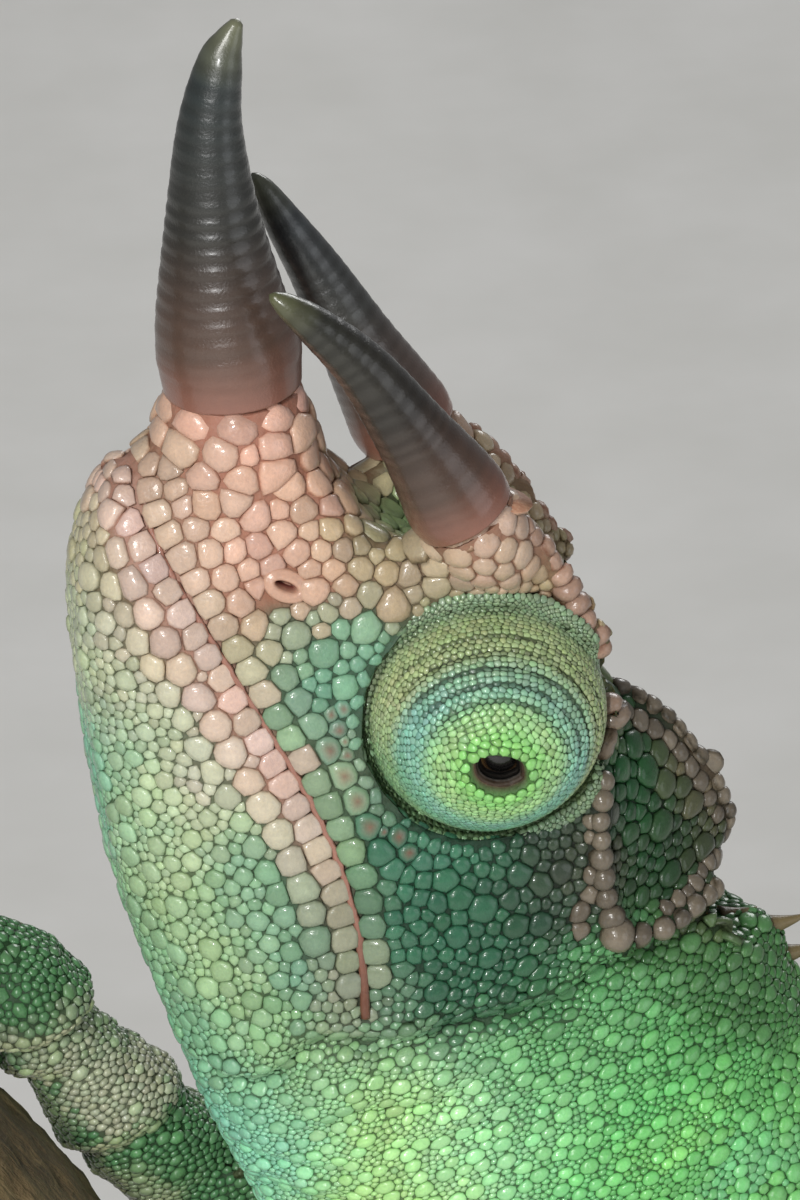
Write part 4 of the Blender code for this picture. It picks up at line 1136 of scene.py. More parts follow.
def growScales(name, roots, normals, radii, heights, colours, hearts, near, allRoots, allNormals, allRadii,
               mirror, own, sides, profile, unwrap, loose=1.5):
    # round the compass the border towards a neighbour at distance q lies at q * own / (own + its); the outline
    # is their smooth minimum, (sum (cos / border)^p)^(-1/p), and rings of it rise to the crown along the profile;
    # a fan closes it below. The mirror is a last neighbour, as far beyond the mouth's line as the root is before
    f, _, slope = stretchTable()
    drawn = np.ones(len(roots)) if profile is pearl else np.interp(headCoordinates(roots)[:, 0], f, slope)
    away = np.concatenate([allRoots[near], mirror[:, None]], axis=1) - roots[:, None]
    away = away + ((away @ forwardAxis) * (drawn - 1)[:, None])[..., None] * forwardAxis
    theirs = np.concatenate([allRadii[near], radii[:, None]], axis=1)
    hint = np.where(np.abs(normals[:, 1:2]) > 0.8, np.array([[0.0, 0, 1]]), np.array([[0.0, 1, 0]]))
    east = unit(np.cross(hint, normals))
    north = np.cross(normals, east)
    x, y = (away * east[:, None]).sum(-1), (away * north[:, None]).sum(-1)
    lift = (away * normals[:, None]).sum(-1)
    q = np.maximum(np.hypot(x, y), 1e-6)
    border = q * (radii[:, None] / (radii[:, None] + theirs))
    turned = (allNormals[near] * normals[:, None]).sum(-1) < 0.1
    border[:, :-1] = np.where(turned, 1000.0, border[:, :-1])
    angle = compass(sides) + own[:, None] * 2.4
    facing = (x / q)[:, None] * np.cos(angle)[..., None] + (y / q)[:, None] * np.sin(angle)[..., None]
    ahead = np.clip(facing, 0, None)
    power = 20.0
    reach = np.maximum(((ahead / border[:, None]) ** power).sum(-1), 1e-9) ** (-1 / power)
    fuller = 1.01 + 0.62 * (1 / math.cos(math.pi / sides) - 1)
    reach = np.minimum(reach * fuller, loose * radii[:, None])
    reach = np.maximum(reach, (0.8 if loose < 1.3 else 0.3) * radii[:, None])
    weight = (ahead ** 4 / q[:, None] ** 2 + 1e-9)[:, :, :-1]
    bend = (weight * np.clip(2 * lift / q ** 2, -1.4, 0.9)[:, None, :-1]).sum(-1) / weight.sum(-1)
    rho, rise = np.array(profile).T
    out = rho[None, :, None] * reach[:, None]
    high = heights * reach.mean(axis=1)
    level = 0.5 * bend[:, None] * out ** 2 + rise[None, :, None] * high[:, None, None]
    flatwise = out[..., None] * around(angle[:, None], east[:, None, None], north[:, None, None])
    flatwise = flatwise - ((flatwise @ forwardAxis) * (1 - 1 / drawn)[:, None, None])[..., None] * forwardAxis
    ring = roots[:, None, None] + flatwise + level[..., None] * normals[:, None, None]
    crownPoint = roots + normals * high[:, None]
    rings = len(rho)
    each = rings * sides + 1
    vertices = np.concatenate([crownPoint[:, None], ring.reshape(len(roots), -1, 3)], axis=1).reshape(-1, 3)
    first = 1 + np.arange(sides)
    after = 1 + (np.arange(sides) + 1) % sides
    fan = np.stack([np.zeros(sides, int), first, after], axis=1)
    strips = [np.vstack([np.stack([first + r * sides, first + (r + 1) * sides, after + (r + 1) * sides], 1),
                         np.stack([first + r * sides, after + (r + 1) * sides, after + r * sides], 1)])
              for r in range(rings - 1)]
    last = 1 + (rings - 1) * sides
    under = last + np.stack([np.zeros(sides - 2, int), np.arange(2, sides), np.arange(1, sides - 1)], axis=1)
    faces = repeated(np.vstack([fan] + strips + [under]), len(roots), each)
    crown = np.concatenate([[1.0], np.repeat(np.clip(1 - rho ** 5, 0, 1), sides)])
    centre = np.concatenate([[1.0], np.repeat(np.clip(1 - rho / 0.75, 0, 1), sides)])[None, :, None]
    tints = mix(colours[:, None], hearts[:, None], centre).reshape(-1, 3)
    made = meshObject(name, vertices, faces, tints, np.tile(crown, len(roots)))
    disc = rho[None, :, None, None] * np.stack([np.cos(angle), np.sin(angle)], -1)[:, None]
    flat = np.concatenate([np.zeros((len(roots), 1, 2)), disc.reshape(len(roots), -1, 2)], axis=1)
    patch = unwrap[:, None] + flat * 0.0015
    layer = made.data.uv_layers.new(name="OFBake")
    layer.data.foreach_set("uv", patch.reshape(-1, 2)[faces.ravel()].astype(np.float32).ravel())
    return made


# profiles of a scale from its crown to its rim: share of the reach, share of the height
fullDome = ((0.5, 0.95), (0.78, 0.8), (0.93, 0.5), (1.0, -0.4))
plainDome = ((0.62, 0.9), (0.92, 0.54), (1.0, -0.4))
lowDome = ((0.8, 0.72), (1.0, -0.4))
pearl = ((0.45, 0.95), (0.76, 0.78), (0.94, 0.42), (1.0, -0.1), (0.92, -0.7), (0.6, -1.1))


def inPatch(along, turn):
    # shares from 0 to 1 as a place on the map, clear of its edges
    return np.stack([0.02 + 0.96 * along, 0.02 + 0.96 * turn], axis=1)


def unwrapTrunk(points, low, high):
    # along the trunk's line and round it
    index = nearestOn(points, spine[1])
    line, steep = spine[1][index], spine[2][index]
    back = outOfBack(steep)
    turn = np.arctan2(-points[:, 1], ((points - line) * back).sum(axis=1)) / tau + 0.5
    return inPatch((spine[0][index] - low) / (high - low), turn)


def unwrapHead(points):
    # along the head and round it
    f, l, d = headCoordinates(points).T
    return inPatch(np.clip((f + 24) / 44, 0, 1), np.arctan2(l, d + 6.5) / tau + 0.5)


def unwrapLimb(points):
    # down the piece's own long axis and round it
    middle = points.mean(axis=0)
    _, _, axes = np.linalg.svd(points - middle, full_matrices=False)
    local = (points - middle) @ axes.T
    turn = np.arctan2(local[:, 2], local[:, 1]) / tau + 0.5
    length = local[:, 0]
    return inPatch((length - length.min()) / np.ptp(length), turn)


def scaleColours(places, normals, group, large, fixed, tall, seed):
    # a colour for each scale and for its heart; neighbours differ, as if each read the marks from nearby
    draw = np.random.default_rng(seed)
    count = len(places)
    colours, _, _ = markingsAndPaintedLight(places + draw.normal(0, 0.3, (count, 3)), normals, group)
    colours = colours * draw.uniform(0.84, 1.16, (count, 1)) * draw.uniform(0.96, 1.04, (count, 3))
    bright = (colours * 1.1 + 0.02) * (0.98, 1.05, 0.96)
    colours = np.where((large & (group > 0))[:, None], bright, colours)
    f, l, d = headCoordinates(places).T
    beads = fixed & (tall > coatMaking["bead"])
    warm = tone(154, 126, 110) * draw.uniform(0.75, 1.2, (count, 1))
    dark = softStep(0.0, -5.0, f)[:, None]
    warm = mix(warm, tone(98, 90, 78) * draw.uniform(0.7, 1.35, (count, 1)), dark)
    colours = np.where(beads[:, None], warm, colours)
    hearts = colours * draw.uniform(1.0, 1.22, (count, 1))
    blush = (np.abs(np.hypot(f, d) - 6.8) < 0.5) & (d < -3.5) & (f > -3.6) & (f < 4.2) & (np.abs(l) > 4)
    hearts = np.where(blush[:, None], colours * 0.35 + tone(132, 74, 66) * 0.65, hearts)
    return np.clip(colours, 0.004, 0.95), np.clip(hearts, 0.004, 0.95)


def mirrors(places):
    # for a root beside the mouth's line, the point as far beyond that line; for others a point far off
    here = headCoordinates(places)
    f = here[:, 0]
    high = mouthDistance(here)
    close = (np.abs(high) < 2.0) & (f > -9.6) & (f < 18)
    line = spread(mouthLine, 120)
    slope = np.interp(f, line[:, 0], np.gradient(line[:, 2], line[:, 0]))
    lean = unit(np.column_stack([-slope, np.ones(len(slope))]))
    other = here.copy()
    other[:, 0] -= 2 * high * lean[:, 0]
    other[:, 2] -= 2 * high * lean[:, 1]
    return np.where(close[:, None], fromHead(other), places + coatMaking["farOff"])


def makeCoat():
    places, radii, tall, fixed, large = chooseRoots()
    print("roots", len(places))
    places, normals, nearest = settleRoots(places, radii, fixed)
    group = skin["group"][nearest]
    near = neighbours(stretched(places), 13)
    colours, hearts = scaleColours(places, normals, group, large, fixed, tall, 5)
    draw = np.random.default_rng(6)
    turn = draw.random(len(places))
    heights = tall * draw.uniform(0.88, 1.12, len(places))
    mirror = mirrors(places)
    f, l, _ = headCoordinates(places).T
    along = trunkPlace(places)
    left = l >= 0
    wide = radii > coatMaking["plate"]
    small = radii < coatMaking["fine"]
    headPart = (f > -24) & (group <= 1)
    beads = tall > coatMaking["bead"]
    hidden = tall == 0
    trunkPart = group <= 2
    # for each: which scales, sides, profile, unwrap or the lengths of trunk that it spans, how loose; a scale
    # goes to the first that takes it
    pieces = {
        "headPearls": (beads & (group <= 1), 14, pearl, unwrapHead, 1.28),
        "headPlates": (headPart & wide, 12, fullDome, unwrapHead, 1.5),
        "headBeads": (headPart & ~wide & ~small, 8, plainDome, unwrapHead, 1.55),
        "headGrains": (headPart & small, 7, lowDome, unwrapHead, 1.55),
        "shoulder": (trunkPart & (along < 34) & ~small, 7, plainDome, (0, 36), 1.6),
        "shoulderGrains": (trunkPart & (along < 34), 6, lowDome, (0, 36), 1.6),
        "flank": ((group == 2) & (along >= 34) & (along < 60), 7, plainDome, (33, 61), 1.5),
        "rump": ((group == 2) & (along >= 60), 7, plainDome, (59, 90), 1.5),
        "tail": (group == 3, 7, lowDome, (80, 216), 1.5),
        "foreLeg": ((group == 4) | ((group == 6) & (along < 45)), 6, lowDome, unwrapLimb, 1.5),
        "hindLeg": ((group == 5) | ((group == 6) & (along >= 45)), 6, lowDome, unwrapLimb, 1.5),
    }
    used = np.zeros(len(places), bool)
    total = 0
    for name, (inside, sides, profile, unwrap, loose) in pieces.items():
        for word, half in (("Left", left), ("Right", ~left)):
            mine = np.where(inside & half & ~used & ~hidden)[0]
            used[mine] = True
            spot = unwrap(places[mine]) if callable(unwrap) else unwrapTrunk(places[mine], *unwrap)
            parts = int(np.ceil(len(mine) * (sides * 2 * len(profile) - 2) / coatMaking["most"]))
            order = np.argsort(f[mine])
            for k, chosen in enumerate(np.array_split(order, parts)):
                some = mine[chosen]
                theirs = [a[some] for a in (places, normals, radii, heights, colours, hearts, near)]
                made = growScales(f"scales_{name}{word}{k + 1}", *theirs, places, normals, radii,
                                  mirror[some], turn[some], sides, profile, spot[chosen], loose)
                settle(made, "scale")
                total += len(made.data.polygons)
                print(made.name, len(some), "scales", len(made.data.polygons), "triangles")
    print("coat", total, "triangles, roots left out", int((~used).sum()))


hide = meshObject("skin", skin["points"], skin["quads"], skin["colour"])
faceOutwards(hide)
settle(hide, "skin", fleshNodes)
makeCoat()


# the eye turrets: a turned dome with a lid round its opening, worn in fine rings of scales

turret = {"out": 4.3, "radius": 5.2, "opening": 11.6, "oval": 0.14, "long": 129.0, "gaze": (-0.004, -0.092),
          "rows": 36, "scale": 0.15, "lid": 0.13, "crease": 0.13, "folds": 48.0, "widest": (62, 86),
          "collar": 20, "eye": 6.6}
turretTones = {"lid": (130, 190, 108), "inner": (148, 190, 128), "middle": (124, 174, 157),
               "outer": (158, 172, 126), "foldTop": (130, 150, 104), "low": (94, 146, 106),
               "collar": (112, 136, 110)}


def turretAxes(side):
    # outwards along the gaze, forwards and up the head
    ahead = unit(np.array([turret["gaze"][0], side, turret["gaze"][1]]))
    forward = unit(np.array([1.0, 0, 0]) - ahead * ahead[0])
    up = np.array([0.0, 0, 1]) - ahead * ahead[2]
    up = unit(up - forward * (up @ forward))
    return ahead, forward, up


def openingAt(phi):
    # the lids leave an oval with two drawn corners
    wide = turret["opening"] * (1 + turret["oval"] * np.cos(2 * (phi - math.radians(turret["long"]))))
    for corner, reach in ((143.0, 1.7), (-38.0, 1.2)):
        away = np.degrees(np.angle(np.exp(1j * (phi - math.radians(corner)))))
        wide = wide + reach * bump(away, 0, 13.0)
    return np.radians(wide)


def creases(alpha, phi):
    # fold lines round the upper front of the dome, 1 in the line
    facing = np.cos(phi - math.radians(turret["folds"]))
    there = softStep(-0.25, 0.45, facing) * softStep(0.42, 0.6, alpha) * softStep(1.38, 1.2, alpha)
    wave = np.sin(alpha * 43.0 + 0.5 * np.sin(phi * 2.0) + 0.35 * np.sin(phi * 5.0 + 1))
    return there * np.clip(wave, 0, 1) ** 3


def edgeAt(side, phi):
    # where the dome ends: level with the skin round it, within its widest angles from the gaze
    out, reach = socketAt(side, phi)
    level = out - turret["out"]
    edge = np.arccos(np.clip((level - 0.35) / turret["radius"], -1, 1))
    return np.clip(edge, *np.radians(turret["widest"])), level, reach


def turretSurface(side, alpha, phi):
    # out to the edge a dome of angle alpha from the gaze; then a collar that runs from a crease out to the
    # head's skin, swelling a little on the way
    ahead, forward, up = turretAxes(side)
    edge, level, reach = edgeAt(side, phi)
    dome = np.minimum(alpha, edge)
    radius = turret["radius"] + 0.3 * bump(dome, 0, 0.42)
    radius = radius - turret["crease"] * creases(dome, phi)
    lid = np.exp(-((dome - openingAt(phi) - math.radians(3.0)) / 0.05) ** 2)
    radius = radius + turret["lid"] * lid
    across, high = radius * np.sin(dome), radius * np.cos(dome)
    beyond = np.clip((alpha - edge) / math.radians(turret["collar"]), 0, 1)
    low = softStep(0.2, -0.9, np.cos(phi - math.radians(turret["folds"])))
    dip = (0.08 + 0.34 * low) * bump(beyond, 0.14, 0.16) * (beyond > 0)
    swell = 0.14 * np.sin(np.clip((beyond - 0.3) / 0.7, 0, 1) * math.pi)
    high = high + (level - 0.02 - high) * softStep(0, 1, beyond) - dip + swell
    across = across + (reach - across) * beyond
    point = high[..., None] * ahead + across[..., None] * around(phi, forward, up)
    return point + (0, side * turret["out"], 0)


def turretColour(alpha, phi):
    names = {name: tone(*shade) for name, shade in turretTones.items()}
    degrees = np.degrees(alpha)
    above = np.cos(phi - math.radians(turret["folds"]))
    colour = names["lid"]
    for towards, amount in (("inner", softStep(18, 26, degrees)), ("middle", softStep(28, 44, degrees)),
                            ("outer", softStep(50, 62, degrees)),
                            ("foldTop", softStep(0.0, 0.9, above) * softStep(34, 50, degrees) * 0.5),
                            ("low", softStep(0.1, -0.8, above) * softStep(30, 56, degrees) * 0.7),
                            ("collar", softStep(76, 92, degrees) * 0.8)):
        colour = mix(colour, names[towards], amount[..., None])
    # painted shade: darker along the fold lines
    return colour * (1 - 0.62 * creases(alpha, phi))[..., None]


def makeTurret(word, side):
    # the dome and its collar, then the throat of the lids, which narrows in ripples towards the eye
    phi = compass(120)
    t = np.linspace(0, 1, 90)[:, None]
    start = openingAt(phi)[None]
    a = start + (edgeAt(side, phi)[0][None] + math.radians(turret["collar"]) - start) * t
    p = np.broadcast_to(phi[None], a.shape)
    outer = fromHead(turretSurface(side, a, p))
    throat = np.linspace(0, 1, 13)[1:]
    ahead = turretAxes(side)[0]
    lip = turretSurface(side, openingAt(phi), phi)
    centre = np.array([0, side * turret["eye"], 0])
    ripple = 0.05 * np.sin(throat * 19)
    inward = [fromHead(centre + (lip - centre) * (1 - 0.42 * d ** 0.6) * (1 - b) +
                       ahead * 0.14 * math.sin(d * 3)) for d, b in zip(throat, ripple)]
    grid = np.concatenate([np.array(inward)[::-1], outer])
    # the lids' brown inner rim, then painted shade near black down towards the eye
    shade = np.array([tone(118, 98, 80), tone(40, 32, 26), tone(14, 11, 9)])
    inner = readAt(throat, (0, 0.42, 1), shade)
    inner = np.repeat(inner[::-1][:, None], len(phi), axis=1) * 1.6
    colours = np.concatenate([inner, turretColour(a, p)])
    points = grid.reshape(-1, 3)
    faces = facingOut(points, gridFaces(len(grid), len(phi)), headPoint(0.0, side * turret["out"], 0.0))
    made = meshObject(f"eyeTurret_{word}", points, faces, colours.reshape(-1, 3))
    settle(made, "skin", [f"eye_turret_{word}"])
    turretScales(word, side)
    makeEye(word, side)


def facingOut(vertices, faces, middle):
    # the faces of an open shell, turned so that most look away from its middle
    corner = vertices[faces]
    normal = np.cross(corner[:, 1] - corner[:, 0], corner[:, 2] - corner[:, 0])
    away = (normal * (corner.mean(axis=1) - middle)).sum()
    return faces if away > 0 else faces[:, ::-1]


def turretScales(word, side):
    # ring after ring of small scales from the lid out to the collar, as many in each as fit round it
    draw = np.random.default_rng(40)
    a, p, size = [], [], []
    for t in np.linspace(0, 1, turret["rows"]):
        share = t ** 0.96
        radius = turret["scale"] * (1.4 - 0.35 * softStep(0.0, 0.3, t) - 0.12 * softStep(0.5, 0.8, t) +
                                    0.2 * softStep(0.88, 1, t))
        alpha = math.radians(13 + 82 * share)
        girth = tau * turret["radius"] * math.sin(min(alpha, 1.5)) * (1 + 0.2 * softStep(0.8, 1, t))
        count = max(12, int(girth / (2 * radius)))
        angle = (np.arange(count) + draw.random() + draw.normal(0, 0.1, count)) / count * tau
        low = openingAt(angle) + math.radians(3.0)
        high = edgeAt(side, angle)[0] + math.radians(18.5)
        a.append(low + (high - low) * share + draw.normal(0, 0.006, count))
        p.append(angle)
        size.append(np.full(count, radius) * draw.uniform(0.82, 1.2, count))
    a, p, radii = np.concatenate(a), np.concatenate(p), np.concatenate(size)
    step = 0.012
    roots, beside, before, below, above = (fromHead(turretSurface(side, a + da * step, p + dp * step))
                                           for da, dp in ((0, 0), (0, 1), (0, -1), (1, 0), (-1, 0)))
    normals = unit(np.cross(beside - before, below - above))
    middle = headPoint(0.0, side * (turret["out"] - 3), 0.0)
    normals = normals * np.sign(((roots - middle) * normals).sum(axis=1))[:, None]
    near = neighbours(roots, 12)
    colours = turretColour(a, p) * draw.uniform(0.8, 1.2, (len(a), 1)) * draw.uniform(0.94, 1.06, (len(a), 3))
    colours = np.clip(colours, 0.01, 0.95)
    disc = 0.5 + 0.47 * (a / a.max())[:, None] * np.stack([np.cos(p), np.sin(p)], axis=1)
    made = growScales(f"scales_turret{word.capitalize()}", roots, normals, radii, np.full(len(a), 0.5), colours,
                      np.clip(colours * 1.12, 0, 0.95), near, roots, normals, radii,
                      roots + coatMaking["farOff"], draw.random(len(a)), 8, plainDome, disc)
    settle(made, "scale")
    print(made.name, len(a), "scales", len(made.data.polygons), "triangles")


def makeEye(word, side):
    # a ball whose front looks along the gaze
    ahead, forward, up = turretAxes(side)
    a, p = np.meshgrid(np.linspace(0, math.pi, 34)[1:-1], compass(40), indexing="ij")
    radius = 2.0 + 0.12 * bump(a, 0, 0.45)
    centre = np.array([0, side * turret["eye"], 0])
    ball = centre + (radius * np.cos(a))[..., None] * ahead
    ball = ball + (radius * np.sin(a))[..., None] * around(p, forward, up)
    ends = fromHead(np.array([centre + ahead * 2.12, centre - ahead * 2.0]))
    made = closedTube(f"eye_{word}Ball", fromHead(ball), ends, crown=1 - a / math.pi)
    settle(made, "eye", [f"eye_{word}"])


for word, side in bothSides:
    makeTurret(word, side)
print("turrets and eyes")


# the edge of the lips and the nostrils

lip = {"radius": 0.15, "above": 0.08, "front": (152, 108, 94), "back": (98, 62, 46)}


def makeLips():
    # one cord from a corner of the mouth round the snout to the other
    half = spread(mouthLine + ((17.9, 0.0, -7.7),), 150)
    whole = np.vstack([half * (1, -1, 1), half[-2::-1]])
    landed, normals, _ = ontoSkin(fromHead(whole))
    for _ in range(160):
        landed[1:-1] = (landed[:-2] + landed[1:-1] * 2 + landed[2:]) / 4
    path = landed + normals * lip["above"]
    t = softStep(-3.0, -10.0, whole[:, 0])[:, None]
    shade = mix(tone(*lip["front"]), tone(*lip["back"]), t)
    sides = 10
    radii = lip["radius"] * (1 + 0.04 * np.sin(np.arange(len(path)) * 0.9)) * (1 + 0.5 * t[:, 0])
    grid = tubeGrid(path, radii[:, None], sides, (0.3, 0.1, 1.0))
    made = closedTube("lipEdge", grid, path[[0, -1]], colours=np.repeat(shade[:, None], sides, axis=1),
                      crown=np.full((len(path), sides), 0.8))
    settle(made, "scale")


def makeNostrils():
    # a raised oval ring that rolls over into a pit painted dark as shade
    for word, side in bothSides:
        sides = 40
        angle = compass(sides)
        f, l, d = nostril["place"]
        landed, normals, _ = ontoSkin(headPoint(f + 1.35 * np.cos(angle), side * l, d + 1.2 * np.sin(angle)))
        place, normal = landed.mean(axis=0), unit(normals.mean(axis=0))
        lean = math.radians(nostril["lean"])
        upward = unit(headPoint(0.0, 0, 1.0) - headPoint(0.0, 0, 0))
        axis = unit(forwardAxis) * math.cos(lean) + upward * math.sin(lean)
        east = unit(axis - normal * (axis @ normal))
        north = np.cross(normal, east)
        profile = spread(nostril["profile"], 24)
        long = profile[:, :1] * nostril["long"]
        high = np.maximum(long - nostril["long"] + nostril["high"], 0.02)
        grid = (place + (long * np.cos(angle))[..., None] * east + (high * np.sin(angle))[..., None] * north +
                (profile[:, 1:2] + 0 * angle)[..., None] * normal * 0.8)
        # painted shade: darker and redder down into the pit
        depth = softStep(0.95, 0.6, profile[:, 0])[:, None]
        shade = mix(tone(190, 152, 132), tone(112, 46, 42), depth)
        count = len(grid) * sides
        vertices = np.vstack([grid.reshape(-1, 3), grid[-1].mean(axis=0)])
        cap = capFaces(np.arange(count - sides, count), count, True)
        faces = np.vstack([gridFaces(len(grid), sides), cap])
        faces = facingOut(vertices, faces, place - normal * 3)
        colours = np.vstack([np.repeat(shade[:, None], sides, axis=1).reshape(-1, 3), shade[-1]])
        made = meshObject(f"nostril_{word}", vertices, faces, colours, np.full(count + 1, 0.9))
        settle(made, "scale")


makeLips()
makeNostrils()
print("lips and nostrils")


# horns: rings that swell and tighten along a curved, tapering path; f, l, d, radius

horns = {
    "rostral": {"rings": 21, "path": (
        (17.8, 0, -3.03, 3.0), (18.6, 0, -2.75, 3.08), (19.6, 0, -2.4, 3.14), (21.4, 0, -1.86, 2.85),
        (25.4, 0, -0.39, 2.05), (29.3, 0, 1.32, 1.42), (31.8, 0, 2.96, 1.0), (32.7, 0, 3.85, 0.62),
        (33.2, 0, 4.45, 0.3)),
        "shades": ((136, 92, 78), (86, 66, 56), (43, 42, 38), (42, 49, 49), (104, 106, 84))},
    "left": {"rings": 19, "path": (
        (9.4, 4.4, 3.34, 2.22), (10.2, 4.42, 3.27, 2.3), (11.5, 4.5, 3.2, 2.12), (13.9, 4.6, 2.98, 1.7),
        (18.13, 4.9, 2.44, 1.22), (21.0, 5.0, 1.56, 0.88), (22.7, 5.07, 0.86, 0.55), (23.4, 5.1, 0.52, 0.25)),
        "shades": ((134, 88, 72), (74, 54, 43), (32, 26, 18), (34, 34, 25), (84, 86, 58))},
    "right": {"rings": 19, "path": (
        (9.4, -4.4, 2.44, 2.22), (10.2, -4.42, 2.39, 2.3), (11.5, -4.5, 2.35, 2.12), (14.2, -4.6, 2.25, 1.7),
        (17.9, -4.9, 2.15, 1.22), (20.7, -5.0, 1.93, 0.88), (22.7, -5.07, 1.8, 0.55), (23.5, -5.1, 1.72, 0.25)),
        "shades": ((138, 92, 76), (88, 70, 61), (58, 58, 54), (52, 56, 58), (94, 96, 76))},
}
hornMaking = {"sides": 48, "rowsPerRing": 9, "depth": (0.004, 0.011),
              "shadesAt": (0.0, 0.16, 0.46, 0.84, 1.0)}


def makeHorn(name):
    # radius at t along the horn: the path's own, times 1 + depth sin(rings t^0.92 + drift), faded at both ends
    horn = horns[name]
    rows, sides = horn["rings"] * hornMaking["rowsPerRing"], hornMaking["sides"]
    path = spread(horn["path"], rows)
    t = np.linspace(0, 1, rows)
    draw = np.random.default_rng(len(name))
    drift = np.interp(t, np.linspace(0, 1, 14), draw.normal(0, 0.3, 14))
    phase = (horn["rings"] * t ** 0.92 + drift) * tau
    wave = np.sin(phase)
    swell = np.where(wave > 0, wave, wave * 0.9)
    fade = softStep(0.02, 0.1, t) * softStep(1.0, 0.9, t) * (0.3 + 0.7 * softStep(0.1, 0.42, t))
    angle = compass(sides)
    uneven = 1 + 0.006 * np.sin(angle * 3 + 1)[None] + 0.004 * np.sin(angle * 7 + 2)[None]
    fine = 0.003 * np.sin(phase * 3.0 + 1)
    depth = np.interp(t, np.linspace(0, 1, 11), draw.uniform(*hornMaking["depth"], 11))
    radii = (path[:, 3] * (1 + (depth * swell + fine) * fade))[:, None] * uneven
    centre = fromHead(path[:, :3])
    grid = tubeGrid(centre, radii, sides)
    ahead = unit(centre[-1] - centre[-2])
    ends = np.array([centre[0] + unit(centre[0] - centre[1]) * 0.4, centre[-1] + ahead * 0.22])
    stops = np.array([tone(*shade) for shade in horn["shades"]])
    colours = np.repeat(readAt(t, hornMaking["shadesAt"], stops)[:, None], sides, axis=1)
    crown = np.repeat(((swell * 0.5 + 0.5) * fade + (1 - fade))[:, None], sides, axis=1)
    made = closedTube(f"horn_{name}Sheath", grid, ends, colours=colours, crown=crown)
    settle(made, "horn", [f"horn_{name}"])


for name in horns:
    makeHorn(name)
print("horns")


# spines along the ridge of the back, and claws

ridge = {"start": 3.2, "end": 118.0, "step": 1.75, "tall": 1.45, "wide": 0.56}


def manyCones(name, base, tip, wide, lean, sides, rings, power):
    # spikes that taper as 1 - 0.94 t^power along their bent middle lines
    t = np.linspace(0, 1, rings)
    line = bentLines(base, tip, lean, t)
    axis = unit(tip - base)
    hint = np.where(np.abs(axis[:, 1:2]) > 0.8, np.array([[1.0, 0, 0]]), np.array([[0.0, 1, 0]]))
    east = unit(np.cross(axis, hint))
    north = np.cross(axis, east)
    taper = wide[:, None] * (1 - t[None] ** power * 0.94)
    circle = around(compass(sides), east[:, None, None], north[:, None, None])
    ring = line[:, :, None] + taper[..., None, None] * circle
    count = len(base)
    each = rings * sides + 2
    ends = np.stack([base, tip + axis * wide[:, None] * 0.05], axis=1)
    vertices = np.concatenate([ring.reshape(count, -1, 3), ends], axis=1).reshape(-1, 3)
    crown = np.tile(np.concatenate([np.repeat(t, sides), [0.0, 1.0]]), count)
    made = meshObject(name, vertices, repeated(tubeFaces(rings, sides), count, each), crown=crown)
    faceOutwards(made)
    return made, each


def makeSpines():
    at = np.arange(ridge["start"], ridge["end"], ridge["step"])
    draw = np.random.default_rng(14)
    at = at + draw.uniform(-0.15, 0.15, len(at))
    x, z = (np.interp(at, spine[0], spine[1][:, k]) for k in (0, 2))
    steep = np.interp(at, spine[0], spine[2])
    back = outOfBack(steep)
    rear = np.stack([np.cos(steep), 0 * steep, -np.sin(steep)], axis=1)
    middle = np.stack([x, 0 * x, z], axis=1)
    hits = [skinTree.ray_cast(Vector(m + b * 40), Vector(-b)) for m, b in zip(middle, back)]
    top = np.array([hit[0] for hit in hits])
    fade = np.clip((ridge["end"] + 14 - at) / 50, 0.3, 1)
    tall = ridge["tall"] * fade * draw.uniform(0.75, 1.2, len(at))
    base = top - back * 0.4
    tip = top + back * tall[:, None] + rear * (tall * 0.35)[:, None]
    made, each = manyCones("spines", base, tip, ridge["wide"] * (0.5 + 0.5 * fade), -rear * 0.35, 9, 7, 0.9)
    shade = tone(104, 92, 64) * draw.uniform(0.7, 1.2, (len(at), 1))
    green = softStep(4, 40, at)[:, None]
    shade = shade * (1 - green * 0.6) + tone(112, 150, 96) * green * 0.6
    paint(made.data, np.repeat(shade, each, 0))
    settle(made, "scale")


def makeClaws():
    base, tip, lean = clawPlaces()
    made, _ = manyCones("claws", base, tip, np.full(len(base), toes["clawRadius"]), lean, 12, 9, 1.4)
    settle(made, "claw")


makeSpines()
makeClaws()
print("spines and claws")


# the branch and the stand

bark = {"ridges": 0.16, "rows": 260, "sides": 120, "wood": 7.25,
        "knots": ((-33.0, 0.7, 1.0, 3.2), (30.0, 3.6, 0.9, 3.0), (52.0, 1.6, 0.7, 2.4))}


